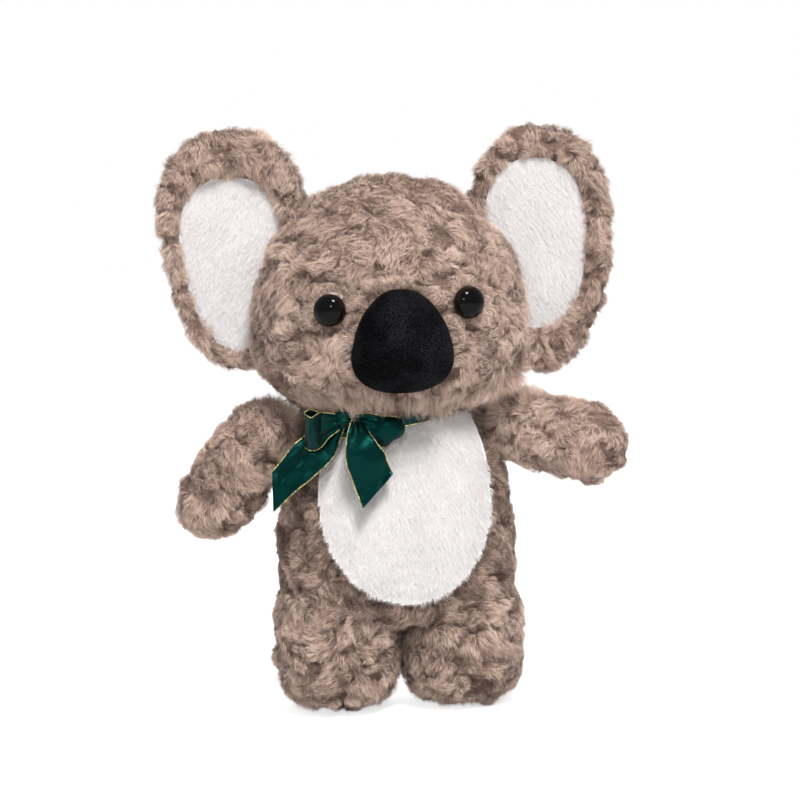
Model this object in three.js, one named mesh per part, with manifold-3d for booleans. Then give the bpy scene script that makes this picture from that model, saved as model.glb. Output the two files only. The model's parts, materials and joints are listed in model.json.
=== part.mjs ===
// Plush koala that stands on its feet: sewn covers of curly brown pile over stuffing, white short-pile
// panels, a padded velour nose, safety eyes locked behind the cover, and a satin ribbon tied in a bow.
// Millimetres, +Z up. The face looks along -Y, and the toy's own left side is at +X.

import * as THREE from "three";
import { mergeVertices } from "three/addons/utils/BufferGeometryUtils.js";
import Module from "manifold-3d";

const wasm = await Module();
wasm.setup();

// Driving dimensions

const FIT = 0.3; // gap between pieces that touch
const RUN = 0.5; // gap round a shoulder that turns
const PILE = 4; // curly cloth, backing and pile together
const VELOUR = 1.2; // cloth of the nose
const OVERRUN = 12; // how far a cutting solid runs past what it cuts
const CURL_DEPTH = 2.6; // of the hollows between the locks of curly pile
const CURL_LENGTHS = [26, 30, 34, 28, 38]; // of the waves that lay the locks out

// The way that each wave runs, and where it starts
const CURL_WAY_SHARES = [
  [0.62, 0.31, 0.72, 0.1],
  [-0.55, 0.78, 0.3, 0.45],
  [0.81, -0.5, -0.31, 0.75],
  [0.2, 0.45, -0.87, 0.3],
  [-0.7, -0.6, 0.39, 0.9],
];

const BODY_WIDTH = 125;
const BODY_DEPTH = 94;
const BODY_HEIGHT = 131;
const BODY_BOTTOM = 37; // the legs carry it
const BODY_TOP = BODY_BOTTOM + BODY_HEIGHT;

const LEG_WIDTH = 64;
const LEG_DEPTH = 80;
const LEG_HEIGHT = 70;
const LEG_FORWARD = 3;
const SOLE_CUT = 0.5; // how deep the rounded foot is flattened

const HEAD_WIDTH = 143;
const HEAD_DEPTH = 118;
const HEAD_HEIGHT = 123;
const HEAD_ABOVE = 41.2; // from the body's top to the head's centre
const HEAD_MIDDLE = BODY_TOP + HEAD_ABOVE;
const HEAD_FORWARD = 5;
const HEAD_ROLL = 1; // degrees, left side higher
const NECK_FORWARD = 2;
const NECK_OPENING = 24; // radius of the hole in the head's cover
const NECK_REACH = 8; // how far the body's stuffing stands up through it into the head's
const NECK_STEPS = 26; // straight sides of the neck, fine enough to turn in its hole
const HEAD_ROOM = 1; // extra room under the head, which isn't round, so that it can turn

const SHOULDER_FORWARD = 5;
const SHOULDER_BALL = 18.5; // radius of the arm's rounded root
const ARM_REACH = 66; // from the shoulder's centre to the paw's tip
const ARM_WIDTH = 44;
const ARM_DEPTH = 40;
const ARM_OPENING = 9; // radius of the hole where the arm is filled
const SLEEVE_ROOT_SHARE = 0.7; // of the ball's radius, how far the sleeve reaches into it

// Each arm as photographed: how far its shoulder lies inside the body's side and below its top, and in
// degrees how far the arm hangs below level, how far it points forward, and its swing down and up from there
const ARMS = {
  right: { side: -1, inside: -2, below: 27, dip: 50, forward: 6, down: 8, up: 25 },
  left: { side: 1, inside: 2.5, below: 28.5, dip: 13, forward: 30, down: 25, up: 12 },
};
const SWING_STEP = 12; // degrees between the copies of the body that trim an arm for its swing

const EAR_THICKNESS = 24;
const EAR_BEHIND = 8; // the ears stand this far behind the body's middle
const EAR_SWEEP = 5; // degrees, outer edges back
const LINING_THICKNESS = 8;
const LINING_SET_BACK = 6; // from the rim's crest to the lining's front

// Each ear and its white lining: how far the centre lies beyond the head's side and above its middle, full
// sizes, and for the ear how much wider its top is than its bottom
const EARS = {
  right: { side: -1, beyond: 3.5, above: 25.1, width: 79, length: 125, lean: 4, topShare: 0.15 },
  left: { side: 1, beyond: 7.5, above: 20.1, width: 80, length: 128.6, lean: 3, topShare: 0.08 },
};
const LININGS = {
  right: { beyond: 5.5, above: 16.5, width: 54, length: 92 },
  left: { beyond: 4.5, above: 22.9, width: 55, length: 88.4 },
};

const NOSE_WIDTH = 50.5;
const NOSE_HEIGHT = 51.5;
const NOSE_THICKNESS = 30;
const NOSE_DROP = 20; // below the head's centre
const NOSE_SINK = 4; // of its middle behind the head's front
const NOSE_TILT = 10; // degrees

const EYE_DIAMETER = 16;
const EYE_HEIGHT = 6.4; // of the dome above its flat back
const EYE_RIM = 0.8;
const DOME_STEPS = 6;
const EYE_SPACING = 68.6;
const EYE_DROP = 3.2; // below the head's centre
const EYE_SINK = 1.2; // pressed into the pile
const EYE_TURN = 20; // degrees outwards
const STEM_DIAMETER = 4.6;
const STEM_LENGTH = 14;
const STEM_RIB = 0.35; // how far each rib stands out
const STEM_RIBS = 4;
const WASHER_DIAMETER = 17;
const WASHER_THICKNESS = 1.3;
const WASHER_COLLAR_DIAMETER = 8.6;
const WASHER_COLLAR_HEIGHT = 3;

const PANEL_HALF_WIDTH = 43.2;
const PANEL_ASIDE = 1.5;
const PANEL_BELOW = 60.5; // from the body's top to where it is widest
const PANEL_RISE = 68; // above that, into the neck seam
const PANEL_FALL = 51; // below it
const PANEL_STEPS = 36; // straight sides of its outline

const RIBBON_WIDTH = 20;
const RIBBON_THICKNESS = 1;
const NECK_WIDTH = 82; // over the ribbon
const NECK_DEPTH = 78;
const NECKBAND_BELOW = 22; // from the body's top to the ribbon's lower edge
const NECKBAND_HEIGHT = 8; // the ribbon lies folded round the neck
const NECKBAND_STEPS = 36; // straight sides of its ring
const KNOT_WIDTH = 13;
const KNOT_DEPTH = 9;
const KNOT_HEIGHT = 11;
const KNOT_ASIDE = 28; // towards the toy's right
const KNOT_FORWARD = 38.5;
const KNOT_ABOVE = 3; // the neckband's lower edge
const GATHER = 8; // width of the ribbon where the knot grips it
const LOOP_RIGHT_LENGTH = 20;
const LOOP_LEFT_LENGTH = 27;
const LOOP_DEPTH = 13;
const LOOP_FORWARD = 12; // how far a loop's end stands before the knot, clear of the chest
const LOOP_STEPS = 16;
const LOOP_GRIP_SHARE = 0.06; // of a loop's round, at either end, held in the knot
const TAIL_STEPS = 8;
const TAIL_FLARE_SHARE = 1 / 3; // of a tail's length, where it is as wide as the ribbon
const TAIL_WAVES_SHARE = 0.75; // of a full wave, along a tail

// Each tail's end from the knot's centre
const TAILS = {
  right: { across: -36, back: 0.5, drop: 32 },
  left: { across: 15.5, back: -13.5, drop: 34 },
};

// Materials

function cloth(colour, roughness) {
  return new THREE.MeshStandardMaterial({ color: colour, roughness, metalness: 0 });
}

const curlyPile = () => cloth(0xa08779, 1);
const whitePile = () => cloth(0xefebe9, 1);
const velour = () => cloth(0x18191b, 0.9);
const satin = () => cloth(0x0f4a42, 0.35);
const wadding = () => cloth(0xf4f2ee, 1);
const glossyBlack = () => cloth(0x0a0808, 0.08);
const washerPlastic = () => cloth(0xe8e8e4, 0.5);

// Solids: closed meshes that can be cut and joined

function solidOf(geometry) {
  const bare = geometry.clone();
  bare.deleteAttribute("normal");
  bare.deleteAttribute("uv");
  const merged = mergeVertices(bare);
  return new wasm.Manifold(new wasm.Mesh({
    numProp: 3,
    vertProperties: new Float32Array(merged.attributes.position.array),
    triVerts: new Uint32Array(merged.index.array),
  }));
}

function geometryOf(solid) {
  const mesh = solid.getMesh();
  const geometry = new THREE.BufferGeometry();
  const positions = Float32Array.from(mesh.vertProperties);
  geometry.setAttribute("position", new THREE.BufferAttribute(positions, mesh.numProp));
  geometry.setIndex(new THREE.BufferAttribute(Uint32Array.from(mesh.triVerts), 1));
  geometry.computeVertexNormals();
  return geometry;
}

function cut(solid, ...tools) {
  return tools.reduce((left, tool) => left.subtract(tool), solid);
}

// The largest body that a cut leaves, without the slivers that crossing cuts trim off
function mainOf(solid) {
  return solid.decompose().reduce((most, body) => (body.volume() > most.volume() ? body : most));
}

const radians = THREE.MathUtils.degToRad;

// Turns about the axes X, Y and Z, in that order, then a move
function placement(at, turnX = 0, turnY = 0, turnZ = 0) {
  const turn = new THREE.Euler(radians(turnX), radians(turnY), radians(turnZ), "ZYX");
  return new THREE.Matrix4().makeRotationFromEuler(turn).setPosition(at);
}

// Stuffed forms
// A form swells between two poles on its local Z. Its section is a rounded outline, its ends are as full
// as asked, where 2 is an ellipsoid and more is squarer, and a taper widens the lower end by that share.

function powered(value, exponent) {
  return Math.sign(value) * Math.abs(value) ** exponent;
}

function profileShare(form, t) {
  const fullness = t > 0 ? form.upper : form.lower;
  return (1 - Math.abs(t) ** fullness) ** (1 / fullness) * (1 - form.taper * t);
}

function outlineShares(form, angle) {
  const across = powered(Math.cos(angle), 2 / form.section);
  const along = powered(Math.sin(angle), 2 / form.section);
  return [across * (1 + form.sectionTaper * along), along];
}

function formOf(settings) {
  return { upper: 2, lower: 2, taper: 0, section: 2, sectionTaper: 0, around: 28, rings: 16, ...settings };
}

// The same form with its surface moved out by a length, or in by a negative one
function grown(form, by, changes = {}) {
  return { ...form, size: form.size.map((length) => length + 2 * by), ...changes };
}

function surfaceOf(form) {
  const [width, depth, height] = form.size;
  const steps = Array.from({ length: form.rings - 1 }, (_, k) => -Math.cos((Math.PI * (k + 1)) / form.rings));
  const widestShare = Math.max(...steps.map((t) => profileShare(form, t)));
  const angles = Array.from({ length: form.around }, (_, k) => (2 * Math.PI * k) / form.around);
  const broadestShare = Math.max(...angles.map((angle) => outlineShares(form, angle)[0]));
  const positions = [0, 0, -height / 2];
  for (const t of steps) {
    const share = profileShare(form, t) / widestShare;
    for (const angle of angles) {
      const [across, along] = outlineShares(form, angle);
      positions.push((across / broadestShare) * share * width / 2, along * share * depth / 2, t * height / 2);
    }
  }
  positions.push(0, 0, height / 2);
  const last = positions.length / 3 - 1;
  const index = [];
  for (let j = 0; j < form.around; j += 1) {
    const next = (j + 1) % form.around;
    index.push(0, 1 + next, 1 + j);
    for (let ring = 0; ring < steps.length - 1; ring += 1) {
      const low = 1 + ring * form.around;
      const high = low + form.around;
      index.push(low + j, low + next, high + next);
      index.push(low + j, high + next, high + j);
    }
    const top = last - form.around;
    index.push(top + j, top + next, last);
  }
  const geometry = new THREE.BufferGeometry();
  geometry.setAttribute("position", new THREE.Float32BufferAttribute(positions, 3));
  geometry.setIndex(index);
  geometry.applyMatrix4(form.matrix);
  return geometry;
}

function stuffed(form) {
  return solidOf(surfaceOf(form));
}

// How far the surface lies below the locks' crests at a point, as a share of their depth
function hollowShare(point) {
  const waves = CURL_WAY_SHARES.map(([x, y, z, start], k) => (
    Math.sin(2 * Math.PI * ((x * point.x + y * point.y + z * point.z) / CURL_LENGTHS[k] + start))));
  const crest = waves.reduce((sum, wave) => sum + wave) / Math.sqrt(waves.length);
  return Math.min(1, Math.max(0, (1 - crest) / 2));
}

// The same form with the hollows of its curly pile, which go in from the surface
function curled(form) {
  const geometry = surfaceOf(form);
  geometry.computeVertexNormals();
  const { position, normal } = geometry.attributes;
  for (let k = 0; k < position.count; k += 1) {
    const point = new THREE.Vector3().fromBufferAttribute(position, k);
    const outward = new THREE.Vector3().fromBufferAttribute(normal, k);
    position.setXYZ(k, ...point.addScaledVector(outward, -CURL_DEPTH * hollowShare(point)).toArray());
  }
  return solidOf(geometry);
}

// The inside of a cover is coarser than its outside, with every second point, so that it never breaks through
function coarse(form) {
  return { around: form.around / 2, rings: form.rings / 2 };
}

function hollowOf(form, wall) {
  return stuffed(grown(form, -wall, coarse(form)));
}

function fillingOf(form, wall) {
  return stuffed(grown(form, -wall - FIT, coarse(form)));
}

// A form's outline as a straight prism, from its lower pole to a length above its upper one
function prism(form, above) {
  const [width, depth, height] = form.size;
  const angles = Array.from({ length: form.around }, (_, k) => (2 * Math.PI * k) / form.around);
  const shares = angles.map((angle) => outlineShares(form, angle));
  const broadestShare = Math.max(...shares.map(([across]) => across));
  const outline = shares.map(([across, along]) => (
    new THREE.Vector2((across / broadestShare) * width / 2, along * depth / 2)));
  const shape = new THREE.Shape(outline);
  const geometry = new THREE.ExtrudeGeometry(shape, { depth: height + above, bevelEnabled: false });
  geometry.translate(0, 0, -height / 2);
  geometry.applyMatrix4(form.matrix);
  return solidOf(geometry);
}

// A round solid from its profile of [radius, height] points
function turned(profile, matrix, segments = 16) {
  const points = profile.map(([radius, height]) => new THREE.Vector2(radius, height));
  const geometry = new THREE.LatheGeometry(points, segments);
  geometry.rotateX(Math.PI / 2);
  geometry.applyMatrix4(matrix);
  return solidOf(geometry);
}

function disc(radius, bottom, top, matrix, segments) {
  return turned([[0, bottom], [radius, bottom], [radius, top], [0, top]], matrix, segments);
}

// A closed outline in the XZ plane, pushed through along Y
function pushed(outline, front, back) {
  const shape = new THREE.Shape(outline.map(([x, z]) => new THREE.Vector2(x, z)));
  const geometry = new THREE.ExtrudeGeometry(shape, { depth: back - front, bevelEnabled: false });
  geometry.rotateX(Math.PI / 2);
  geometry.translate(0, back, 0);
  return solidOf(geometry);
}

// Torso and legs

const bodyForm = formOf({
  size: [BODY_WIDTH, BODY_DEPTH, BODY_HEIGHT],
  upper: 3, lower: 3, taper: 0.1, section: 2.2, around: 32, rings: 18,
  matrix: placement(new THREE.Vector3(0, 0, BODY_BOTTOM + BODY_HEIGHT / 2)),
});

function legForm(side) {
  const out = side * (LEG_WIDTH + FIT) / 2;
  return formOf({
    size: [LEG_WIDTH, LEG_DEPTH, LEG_HEIGHT],
    upper: 3, lower: 4, section: 2.3, around: 24, rings: 14,
    matrix: placement(new THREE.Vector3(out, -LEG_FORWARD, LEG_HEIGHT / 2 - SOLE_CUT)),
  });
}

// Head

const headCentre = new THREE.Vector3(0, -HEAD_FORWARD, HEAD_MIDDLE);
const neck = new THREE.Vector3(0, -NECK_FORWARD, BODY_TOP);

const headForm = formOf({
  size: [HEAD_WIDTH, HEAD_DEPTH, HEAD_HEIGHT],
  upper: 2.3, lower: 2.5, taper: 0.17, section: 2.15, around: 32, rings: 18,
  matrix: placement(headCentre, 0, -HEAD_ROLL, 0),
});

// The neck turns in the head: stuffing, round about the upright axis
const neckAxis = placement(new THREE.Vector3(neck.x, neck.y, 0));
const chin = HEAD_MIDDLE - HEAD_HEIGHT / 2;
const neckTop = chin + PILE + NECK_REACH;
const neckStub = disc(NECK_OPENING - FIT, chin - OVERRUN, neckTop, neckAxis, NECK_STEPS);
const neckHole = disc(NECK_OPENING, chin - OVERRUN, neckTop + FIT, neckAxis, NECK_STEPS);

// The head's path: its form, a little larger and squarer, holds the head at every turn of the neck
const headClearance = stuffed(grown(headForm, FIT));
const headPath = stuffed(grown(headForm, FIT + HEAD_ROOM, { section: 2.7 }));

// Arms: a ball in the armhole and a sleeve that swells towards the paw

const upright = new THREE.Vector3(0, 0, 1);

function armPlacement({ side, inside, below, dip, forward }) {
  const shoulder = new THREE.Vector3(side * (BODY_WIDTH / 2 - inside), -SHOULDER_FORWARD, BODY_TOP - below);
  const axis = new THREE.Vector3(0, 1, 0).applyAxisAngle(upright, radians(-side * forward));
  return { shoulder, axis, matrix: placement(shoulder, 0, side * (90 + dip), -side * forward) };
}

function ballForm(matrix) {
  const across = 2 * SHOULDER_BALL;
  return formOf({ size: [across, across, across], around: 20, rings: 12, matrix });
}

function sleeveForm(matrix) {
  const hidden = SHOULDER_BALL * SLEEVE_ROOT_SHARE;
  const middle = new THREE.Matrix4().makeTranslation(0, 0, (ARM_REACH - hidden) / 2);
  return formOf({
    size: [ARM_WIDTH, ARM_DEPTH, ARM_REACH + hidden],
    upper: 2.3, lower: 2.1, taper: -0.1, around: 24, rings: 12,
    matrix: matrix.clone().multiply(middle),
  });
}

// The torso as the arm meets it through its swing: a positive turn lowers the left arm and lifts the
// right one
function torsoPast(arm, margin, changes) {
  const { shoulder, axis } = armPlacement(arm);
  const [from, to] = arm.side > 0 ? [-arm.up, arm.down] : [-arm.down, arm.up];
  const steps = Math.ceil((to - from) / SWING_STEP);
  const solid = stuffed(grown(bodyForm, margin, changes));
  return Array.from({ length: steps + 1 }, (_, k) => {
    const degrees = from + ((to - from) * k) / steps;
    const turn = new THREE.Matrix4().makeRotationAxis(axis, -radians(degrees));
    const home = new THREE.Matrix4().makeTranslation(shoulder.clone().negate());
    const swing = new THREE.Matrix4().makeTranslation(shoulder).multiply(turn).multiply(home);
    return solid.transform(swing.toArray());
  });
}

// Assembly: a group for the whole toy, and one for each part of it that turns

const koala = new THREE.Group();
koala.name = "koala";

function groupAt(centre) {
  const group = new THREE.Group();
  group.position.copy(centre);
  koala.add(group);
  return group;
}

function addPiece(group, name, solid, material) {
  const geometry = geometryOf(solid);
  geometry.translate(-group.position.x, -group.position.y, -group.position.z);
  const mesh = new THREE.Mesh(geometry, material);
  mesh.name = name;
  group.add(mesh);
}

const torso = groupAt(new THREE.Vector3(0, 0, BODY_BOTTOM));
const head = groupAt(neck);

// The ribbon's ring round the neck, and with a margin the crease that it presses into the torso
function neckRing(margin, height) {
  const outline = (inset) => Array.from({ length: NECKBAND_STEPS }, (_, k) => {
    const angle = (2 * Math.PI * k) / NECKBAND_STEPS;
    const [across, along] = outlineShares({ section: 3, sectionTaper: 0 }, angle);
    return new THREE.Vector2((NECK_WIDTH / 2 - inset) * across, (NECK_DEPTH / 2 - inset) * along);
  });
  const shape = new THREE.Shape(outline(-margin));
  shape.holes.push(new THREE.Path(outline(RIBBON_THICKNESS + margin)));
  const geometry = new THREE.ExtrudeGeometry(shape, { depth: height + margin, bevelEnabled: false });
  geometry.translate(0, 0, BODY_TOP - NECKBAND_BELOW - margin);
  return solidOf(geometry);
}

// Torso: a brown cover with an oval window, the white panel sewn into it, and the stuffing

const armholes = Object.values(ARMS).map((arm) => stuffed(grown(ballForm(armPlacement(arm).matrix), RUN)));

function panelPrism(margin) {
  const outline = Array.from({ length: PANEL_STEPS }, (_, k) => {
    const angle = (2 * Math.PI * k) / PANEL_STEPS;
    const reach = (Math.sin(angle) > 0 ? PANEL_RISE : PANEL_FALL) + margin;
    return [
      PANEL_ASIDE + (PANEL_HALF_WIDTH + margin) * Math.cos(angle),
      BODY_TOP - PANEL_BELOW + reach * Math.sin(angle),
    ];
  });
  return pushed(outline, -BODY_DEPTH / 2 - OVERRUN, -BODY_DEPTH / 8);
}

const crease = neckRing(FIT, NECKBAND_HEIGHT + OVERRUN);
const bodyHollows = [hollowOf(bodyForm, PILE), headPath, crease, ...armholes];
const panel = cut(stuffed(bodyForm), ...bodyHollows).intersect(panelPrism(0));
addPiece(torso, "body_cover", mainOf(cut(curled(bodyForm), ...bodyHollows, panelPrism(FIT))), curlyPile());
addPiece(torso, "belly_panel", panel, whitePile());
const bodyFilling = cut(fillingOf(bodyForm, PILE), headPath, crease, ...armholes).add(neckStub);
addPiece(torso, "body_stuffing", bodyFilling, wadding());

// Legs: short stubs under the torso, open at the top where they are sewn to it, flat where they stand

const bodyClearance = stuffed(grown(bodyForm, FIT));
const floor = disc(BODY_WIDTH, -OVERRUN, 0, new THREE.Matrix4());

for (const [name, side] of [["right", -1], ["left", 1]]) {
  const form = legForm(side);
  const shell = cut(stuffed(form), hollowOf(form, PILE), bodyClearance, floor);
  addPiece(torso, `leg_${name}_cover`, shell, curlyPile());
  addPiece(torso, `leg_${name}_stuffing`, cut(fillingOf(form, PILE), bodyClearance), wadding());
}

// Arms: each swings on its shoulder, and its sleeve is trimmed where it would press into the torso

for (const [name, arm] of Object.entries(ARMS)) {
  const { shoulder, matrix } = armPlacement(arm);
  const group = groupAt(shoulder);
  const ball = ballForm(matrix);
  const sleeve = sleeveForm(matrix);
  const outside = stuffed(ball).add(cut(stuffed(sleeve), ...torsoPast(arm, FIT)));
  const deep = torsoPast(arm, FIT + PILE, coarse(bodyForm));
  const deeper = torsoPast(arm, FIT + PILE + FIT, coarse(bodyForm));
  const inside = hollowOf(ball, PILE).add(cut(hollowOf(sleeve, PILE), ...deep));
  const filling = fillingOf(ball, PILE).add(cut(fillingOf(sleeve, PILE), ...deeper));
  const mouth = disc(ARM_OPENING, -SHOULDER_BALL - OVERRUN, -SHOULDER_BALL + 2 * PILE, matrix);
  addPiece(group, `arm_${name}_cover`, cut(outside, inside, mouth, headPath), curlyPile());
  addPiece(group, `arm_${name}_stuffing`, cut(filling, headPath), wadding());
}

// Eyes: a dome with a ribbed stem through the cover, locked by a washer behind it

const eyeRadius = EYE_DIAMETER / 2;
const stemRadius = STEM_DIAMETER / 2;
const washerFace = -PILE - FIT + EYE_SINK / 4; // height of the washer's outer face on the eye's own axis
const washerBack = washerFace - WASHER_THICKNESS;
const collarBack = washerBack - WASHER_COLLAR_HEIGHT;
const stemHole = stemRadius + STEM_RIB + FIT;

function eyePlacement(side) {
  const x = EYE_SPACING / 2;
  const z = -EYE_DROP;
  const wideShare = x / (HEAD_WIDTH / 2);
  const highShare = z / (HEAD_HEIGHT / 2);
  const surface = (HEAD_DEPTH / 2) * Math.sqrt(1 - wideShare ** 2 - highShare ** 2);
  const local = new THREE.Matrix4().makeRotationFromEuler(
    new THREE.Euler(radians(90), 0, radians(side * EYE_TURN), "ZYX"),
  );
  const sunk = new THREE.Vector3(0, 0, -EYE_SINK).applyMatrix4(local);
  local.setPosition(new THREE.Vector3(side * x, -surface, z).add(sunk));
  return headForm.matrix.clone().multiply(local);
}

function eyeProfile() {
  const dome = Array.from({ length: DOME_STEPS + 1 }, (_, k) => {
    const angle = (Math.PI / 2) * (1 - k / DOME_STEPS);
    return [eyeRadius * Math.cos(angle), EYE_RIM + (EYE_HEIGHT - EYE_RIM) * Math.sin(angle)];
  });
  dome[0][0] = 0;
  const pitch = STEM_LENGTH / (STEM_RIBS + 1);
  const ribs = Array.from({ length: STEM_RIBS }, (_, k) => {
    const crest = -pitch * (k + 1);
    return [
      [stemRadius, crest + pitch / 3],
      [stemRadius + STEM_RIB, crest],
      [stemRadius, crest - pitch / 6],
    ];
  }).flat();
  return [
    ...dome,
    [eyeRadius, 0],
    [stemRadius, 0],
    ...ribs,
    [stemRadius, -STEM_LENGTH + STEM_RIB],
    [stemRadius - STEM_RIB, -STEM_LENGTH],
    [0, -STEM_LENGTH],
  ].reverse();
}

const washerProfile = [
  [stemHole, collarBack],
  [WASHER_COLLAR_DIAMETER / 2, collarBack],
  [WASHER_COLLAR_DIAMETER / 2, washerBack],
  [WASHER_DIAMETER / 2, washerBack],
  [WASHER_DIAMETER / 2, washerFace],
  [stemHole, washerFace],
  [stemHole, collarBack],
];

const eyeSeats = [];
const eyePockets = [];

for (const [name, side] of [["right", -1], ["left", 1]]) {
  const matrix = eyePlacement(side);
  addPiece(head, `eye_${name}`, turned(eyeProfile(), matrix), glossyBlack());
  addPiece(head, `eye_${name}_washer`, turned(washerProfile, matrix), washerPlastic());
  eyeSeats.push(
    disc(eyeRadius + FIT, -FIT, OVERRUN, matrix),
    disc(stemHole, -OVERRUN, OVERRUN, matrix),
    disc(WASHER_DIAMETER / 2 + FIT, -OVERRUN, washerFace + FIT, matrix),
  );
  eyePockets.push(
    disc(WASHER_DIAMETER / 2 + FIT, collarBack - FIT, OVERRUN, matrix),
    disc(stemHole, -STEM_LENGTH - FIT, OVERRUN, matrix),
  );
}

// Head: its cover, open at the neck, and the stuffing

const headShell = cut(curled(headForm), hollowOf(headForm, PILE), neckHole, ...eyeSeats);
addPiece(head, "head_cover", headShell, curlyPile());
addPiece(head, "head_stuffing", cut(fillingOf(headForm, PILE), neckHole, ...eyePockets), wadding());

// Nose: a padded velour patch on the face

const noseForm = formOf({
  size: [NOSE_WIDTH, NOSE_HEIGHT, NOSE_THICKNESS],
  upper: 2.4, lower: 2.4, section: 2.3, sectionTaper: -0.25, around: 24, rings: 10,
  matrix: headForm.matrix.clone().multiply(
    placement(new THREE.Vector3(0, NOSE_SINK - HEAD_DEPTH / 2, -NOSE_DROP), 90 + NOSE_TILT)),
});
const noseShell = cut(stuffed(noseForm), hollowOf(noseForm, VELOUR), headClearance);
addPiece(head, "nose_cover", noseShell, velour());
addPiece(head, "nose_padding", cut(fillingOf(noseForm, VELOUR), headClearance), wadding());

// Ears: a brown back that rolls forward into the rim, a white lining in its window, wadding behind

function earPoint(side, { beyond, above }, y) {
  return new THREE.Vector3(side * (HEAD_WIDTH / 2 + beyond), y, HEAD_MIDDLE + above);
}

for (const [name, ear] of Object.entries(EARS)) {
  const shape = { section: 2.4, sectionTaper: ear.topShare };
  const facing = [90, ear.side * ear.lean, ear.side * EAR_SWEEP];
  const form = formOf({
    size: [ear.width, ear.length, EAR_THICKNESS],
    upper: 3, lower: 2.4, ...shape, rings: 10,
    matrix: placement(earPoint(ear.side, ear, EAR_BEHIND), ...facing),
  });
  const lining = LININGS[name];
  const front = EAR_BEHIND - EAR_THICKNESS / 2 + LINING_SET_BACK;
  const liningForm = formOf({
    size: [lining.width, lining.length, LINING_THICKNESS],
    upper: 2.6, lower: 6, ...shape, around: 24, rings: 8,
    matrix: placement(earPoint(ear.side, lining, front + LINING_THICKNESS / 2), ...facing),
  });
  const window = prism(grown(liningForm, FIT), LINING_SET_BACK + OVERRUN);
  const shell = cut(stuffed(form), hollowOf(form, PILE), window, headClearance);
  addPiece(head, `ear_${name}_cover`, shell, curlyPile());
  addPiece(head, `ear_${name}_lining`, cut(stuffed(liningForm), headClearance), whitePile());
  const padding = cut(fillingOf(form, PILE), window, headClearance);
  addPiece(head, `ear_${name}_wadding`, padding, wadding());
}

// Ribbon: a folded band round the neck, a knot off centre, two loops and two tails
// A strip is a flat ribbon swept through stations, each with its centre, the direction across it and its
// width.

function strip(stations) {
  const positions = [];
  stations.forEach(({ at, across, width }, k) => {
    const before = stations[Math.max(k - 1, 0)].at;
    const after = stations[Math.min(k + 1, stations.length - 1)].at;
    const along = after.clone().sub(before).normalize();
    const face = along.clone().cross(across).normalize().multiplyScalar(RIBBON_THICKNESS / 2);
    const half = across.clone().normalize().multiplyScalar(width / 2);
    for (const [wide, deep] of [[-1, -1], [1, -1], [1, 1], [-1, 1]]) {
      const corner = at.clone().addScaledVector(half, wide).addScaledVector(face, deep);
      positions.push(corner.x, corner.y, corner.z);
    }
  });
  const index = [0, 2, 1, 0, 3, 2];
  for (let k = 0; k < stations.length - 1; k += 1) {
    for (let j = 0; j < 4; j += 1) {
      const low = 4 * k + j;
      const next = 4 * k + ((j + 1) % 4);
      index.push(low, next, next + 4, low, next + 4, low + 4);
    }
  }
  const end = 4 * (stations.length - 1);
  index.push(end, end + 1, end + 2, end, end + 2, end + 3);
  const geometry = new THREE.BufferGeometry();
  geometry.setAttribute("position", new THREE.Float32BufferAttribute(positions, 3));
  geometry.setIndex(index);
  return solidOf(geometry);
}

const knot = new THREE.Vector3(-KNOT_ASIDE, -KNOT_FORWARD, BODY_TOP - NECKBAND_BELOW + KNOT_ABOVE);
const knotForm = formOf({
  size: [KNOT_WIDTH, KNOT_DEPTH, KNOT_HEIGHT],
  upper: 2.6, lower: 2.6, around: 12, rings: 8,
  matrix: placement(knot),
});
const knotClearance = stuffed(grown(knotForm, FIT));

function loop(side, length) {
  return strip(Array.from({ length: LOOP_STEPS + 1 }, (_, k) => {
    const roundShare = LOOP_GRIP_SHARE + ((1 - 2 * LOOP_GRIP_SHARE) * k) / LOOP_STEPS;
    const angle = 2 * Math.PI * roundShare;
    const outShare = (1 - Math.cos(angle)) / 2;
    const bulge = (LOOP_DEPTH / 2) * Math.sin(angle) * Math.sqrt(outShare);
    const x = knot.x + side * length * outShare;
    const y = knot.y - KNOT_DEPTH / 3 - LOOP_FORWARD * outShare - bulge;
    return {
      at: new THREE.Vector3(x, y, knot.z - (length / 4) * outShare),
      across: new THREE.Vector3(0, 0, 1),
      width: GATHER + (RIBBON_WIDTH - GATHER) * outShare,
    };
  }));
}

function tail(side, { across: aside, back, drop }, lean) {
  const behind = side < 0 ? KNOT_DEPTH / 5 : 0;
  const end = knot.clone().add(new THREE.Vector3(aside, back, -drop));
  const start = knot.clone().add(new THREE.Vector3((side * KNOT_WIDTH) / 5, behind, -KNOT_HEIGHT / 2));
  return strip(Array.from({ length: TAIL_STEPS + 1 }, (_, k) => {
    const share = k / TAIL_STEPS;
    const wave = (RIBBON_WIDTH / 12) * Math.sin(2 * Math.PI * TAIL_WAVES_SHARE * share);
    const at = start.clone().lerp(end, share);
    at.y = start.y + (end.y - start.y) * share ** 2 - wave;
    const square = new THREE.Vector3(end.z - start.z, 0, start.x - end.x).normalize();
    const across = square.lerp(new THREE.Vector3(lean.x, 0, lean.z), share ** 2).normalize();
    return { at, across, width: GATHER + (RIBBON_WIDTH - GATHER) * Math.min(1, share / TAIL_FLARE_SHARE) };
  }));
}

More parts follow.
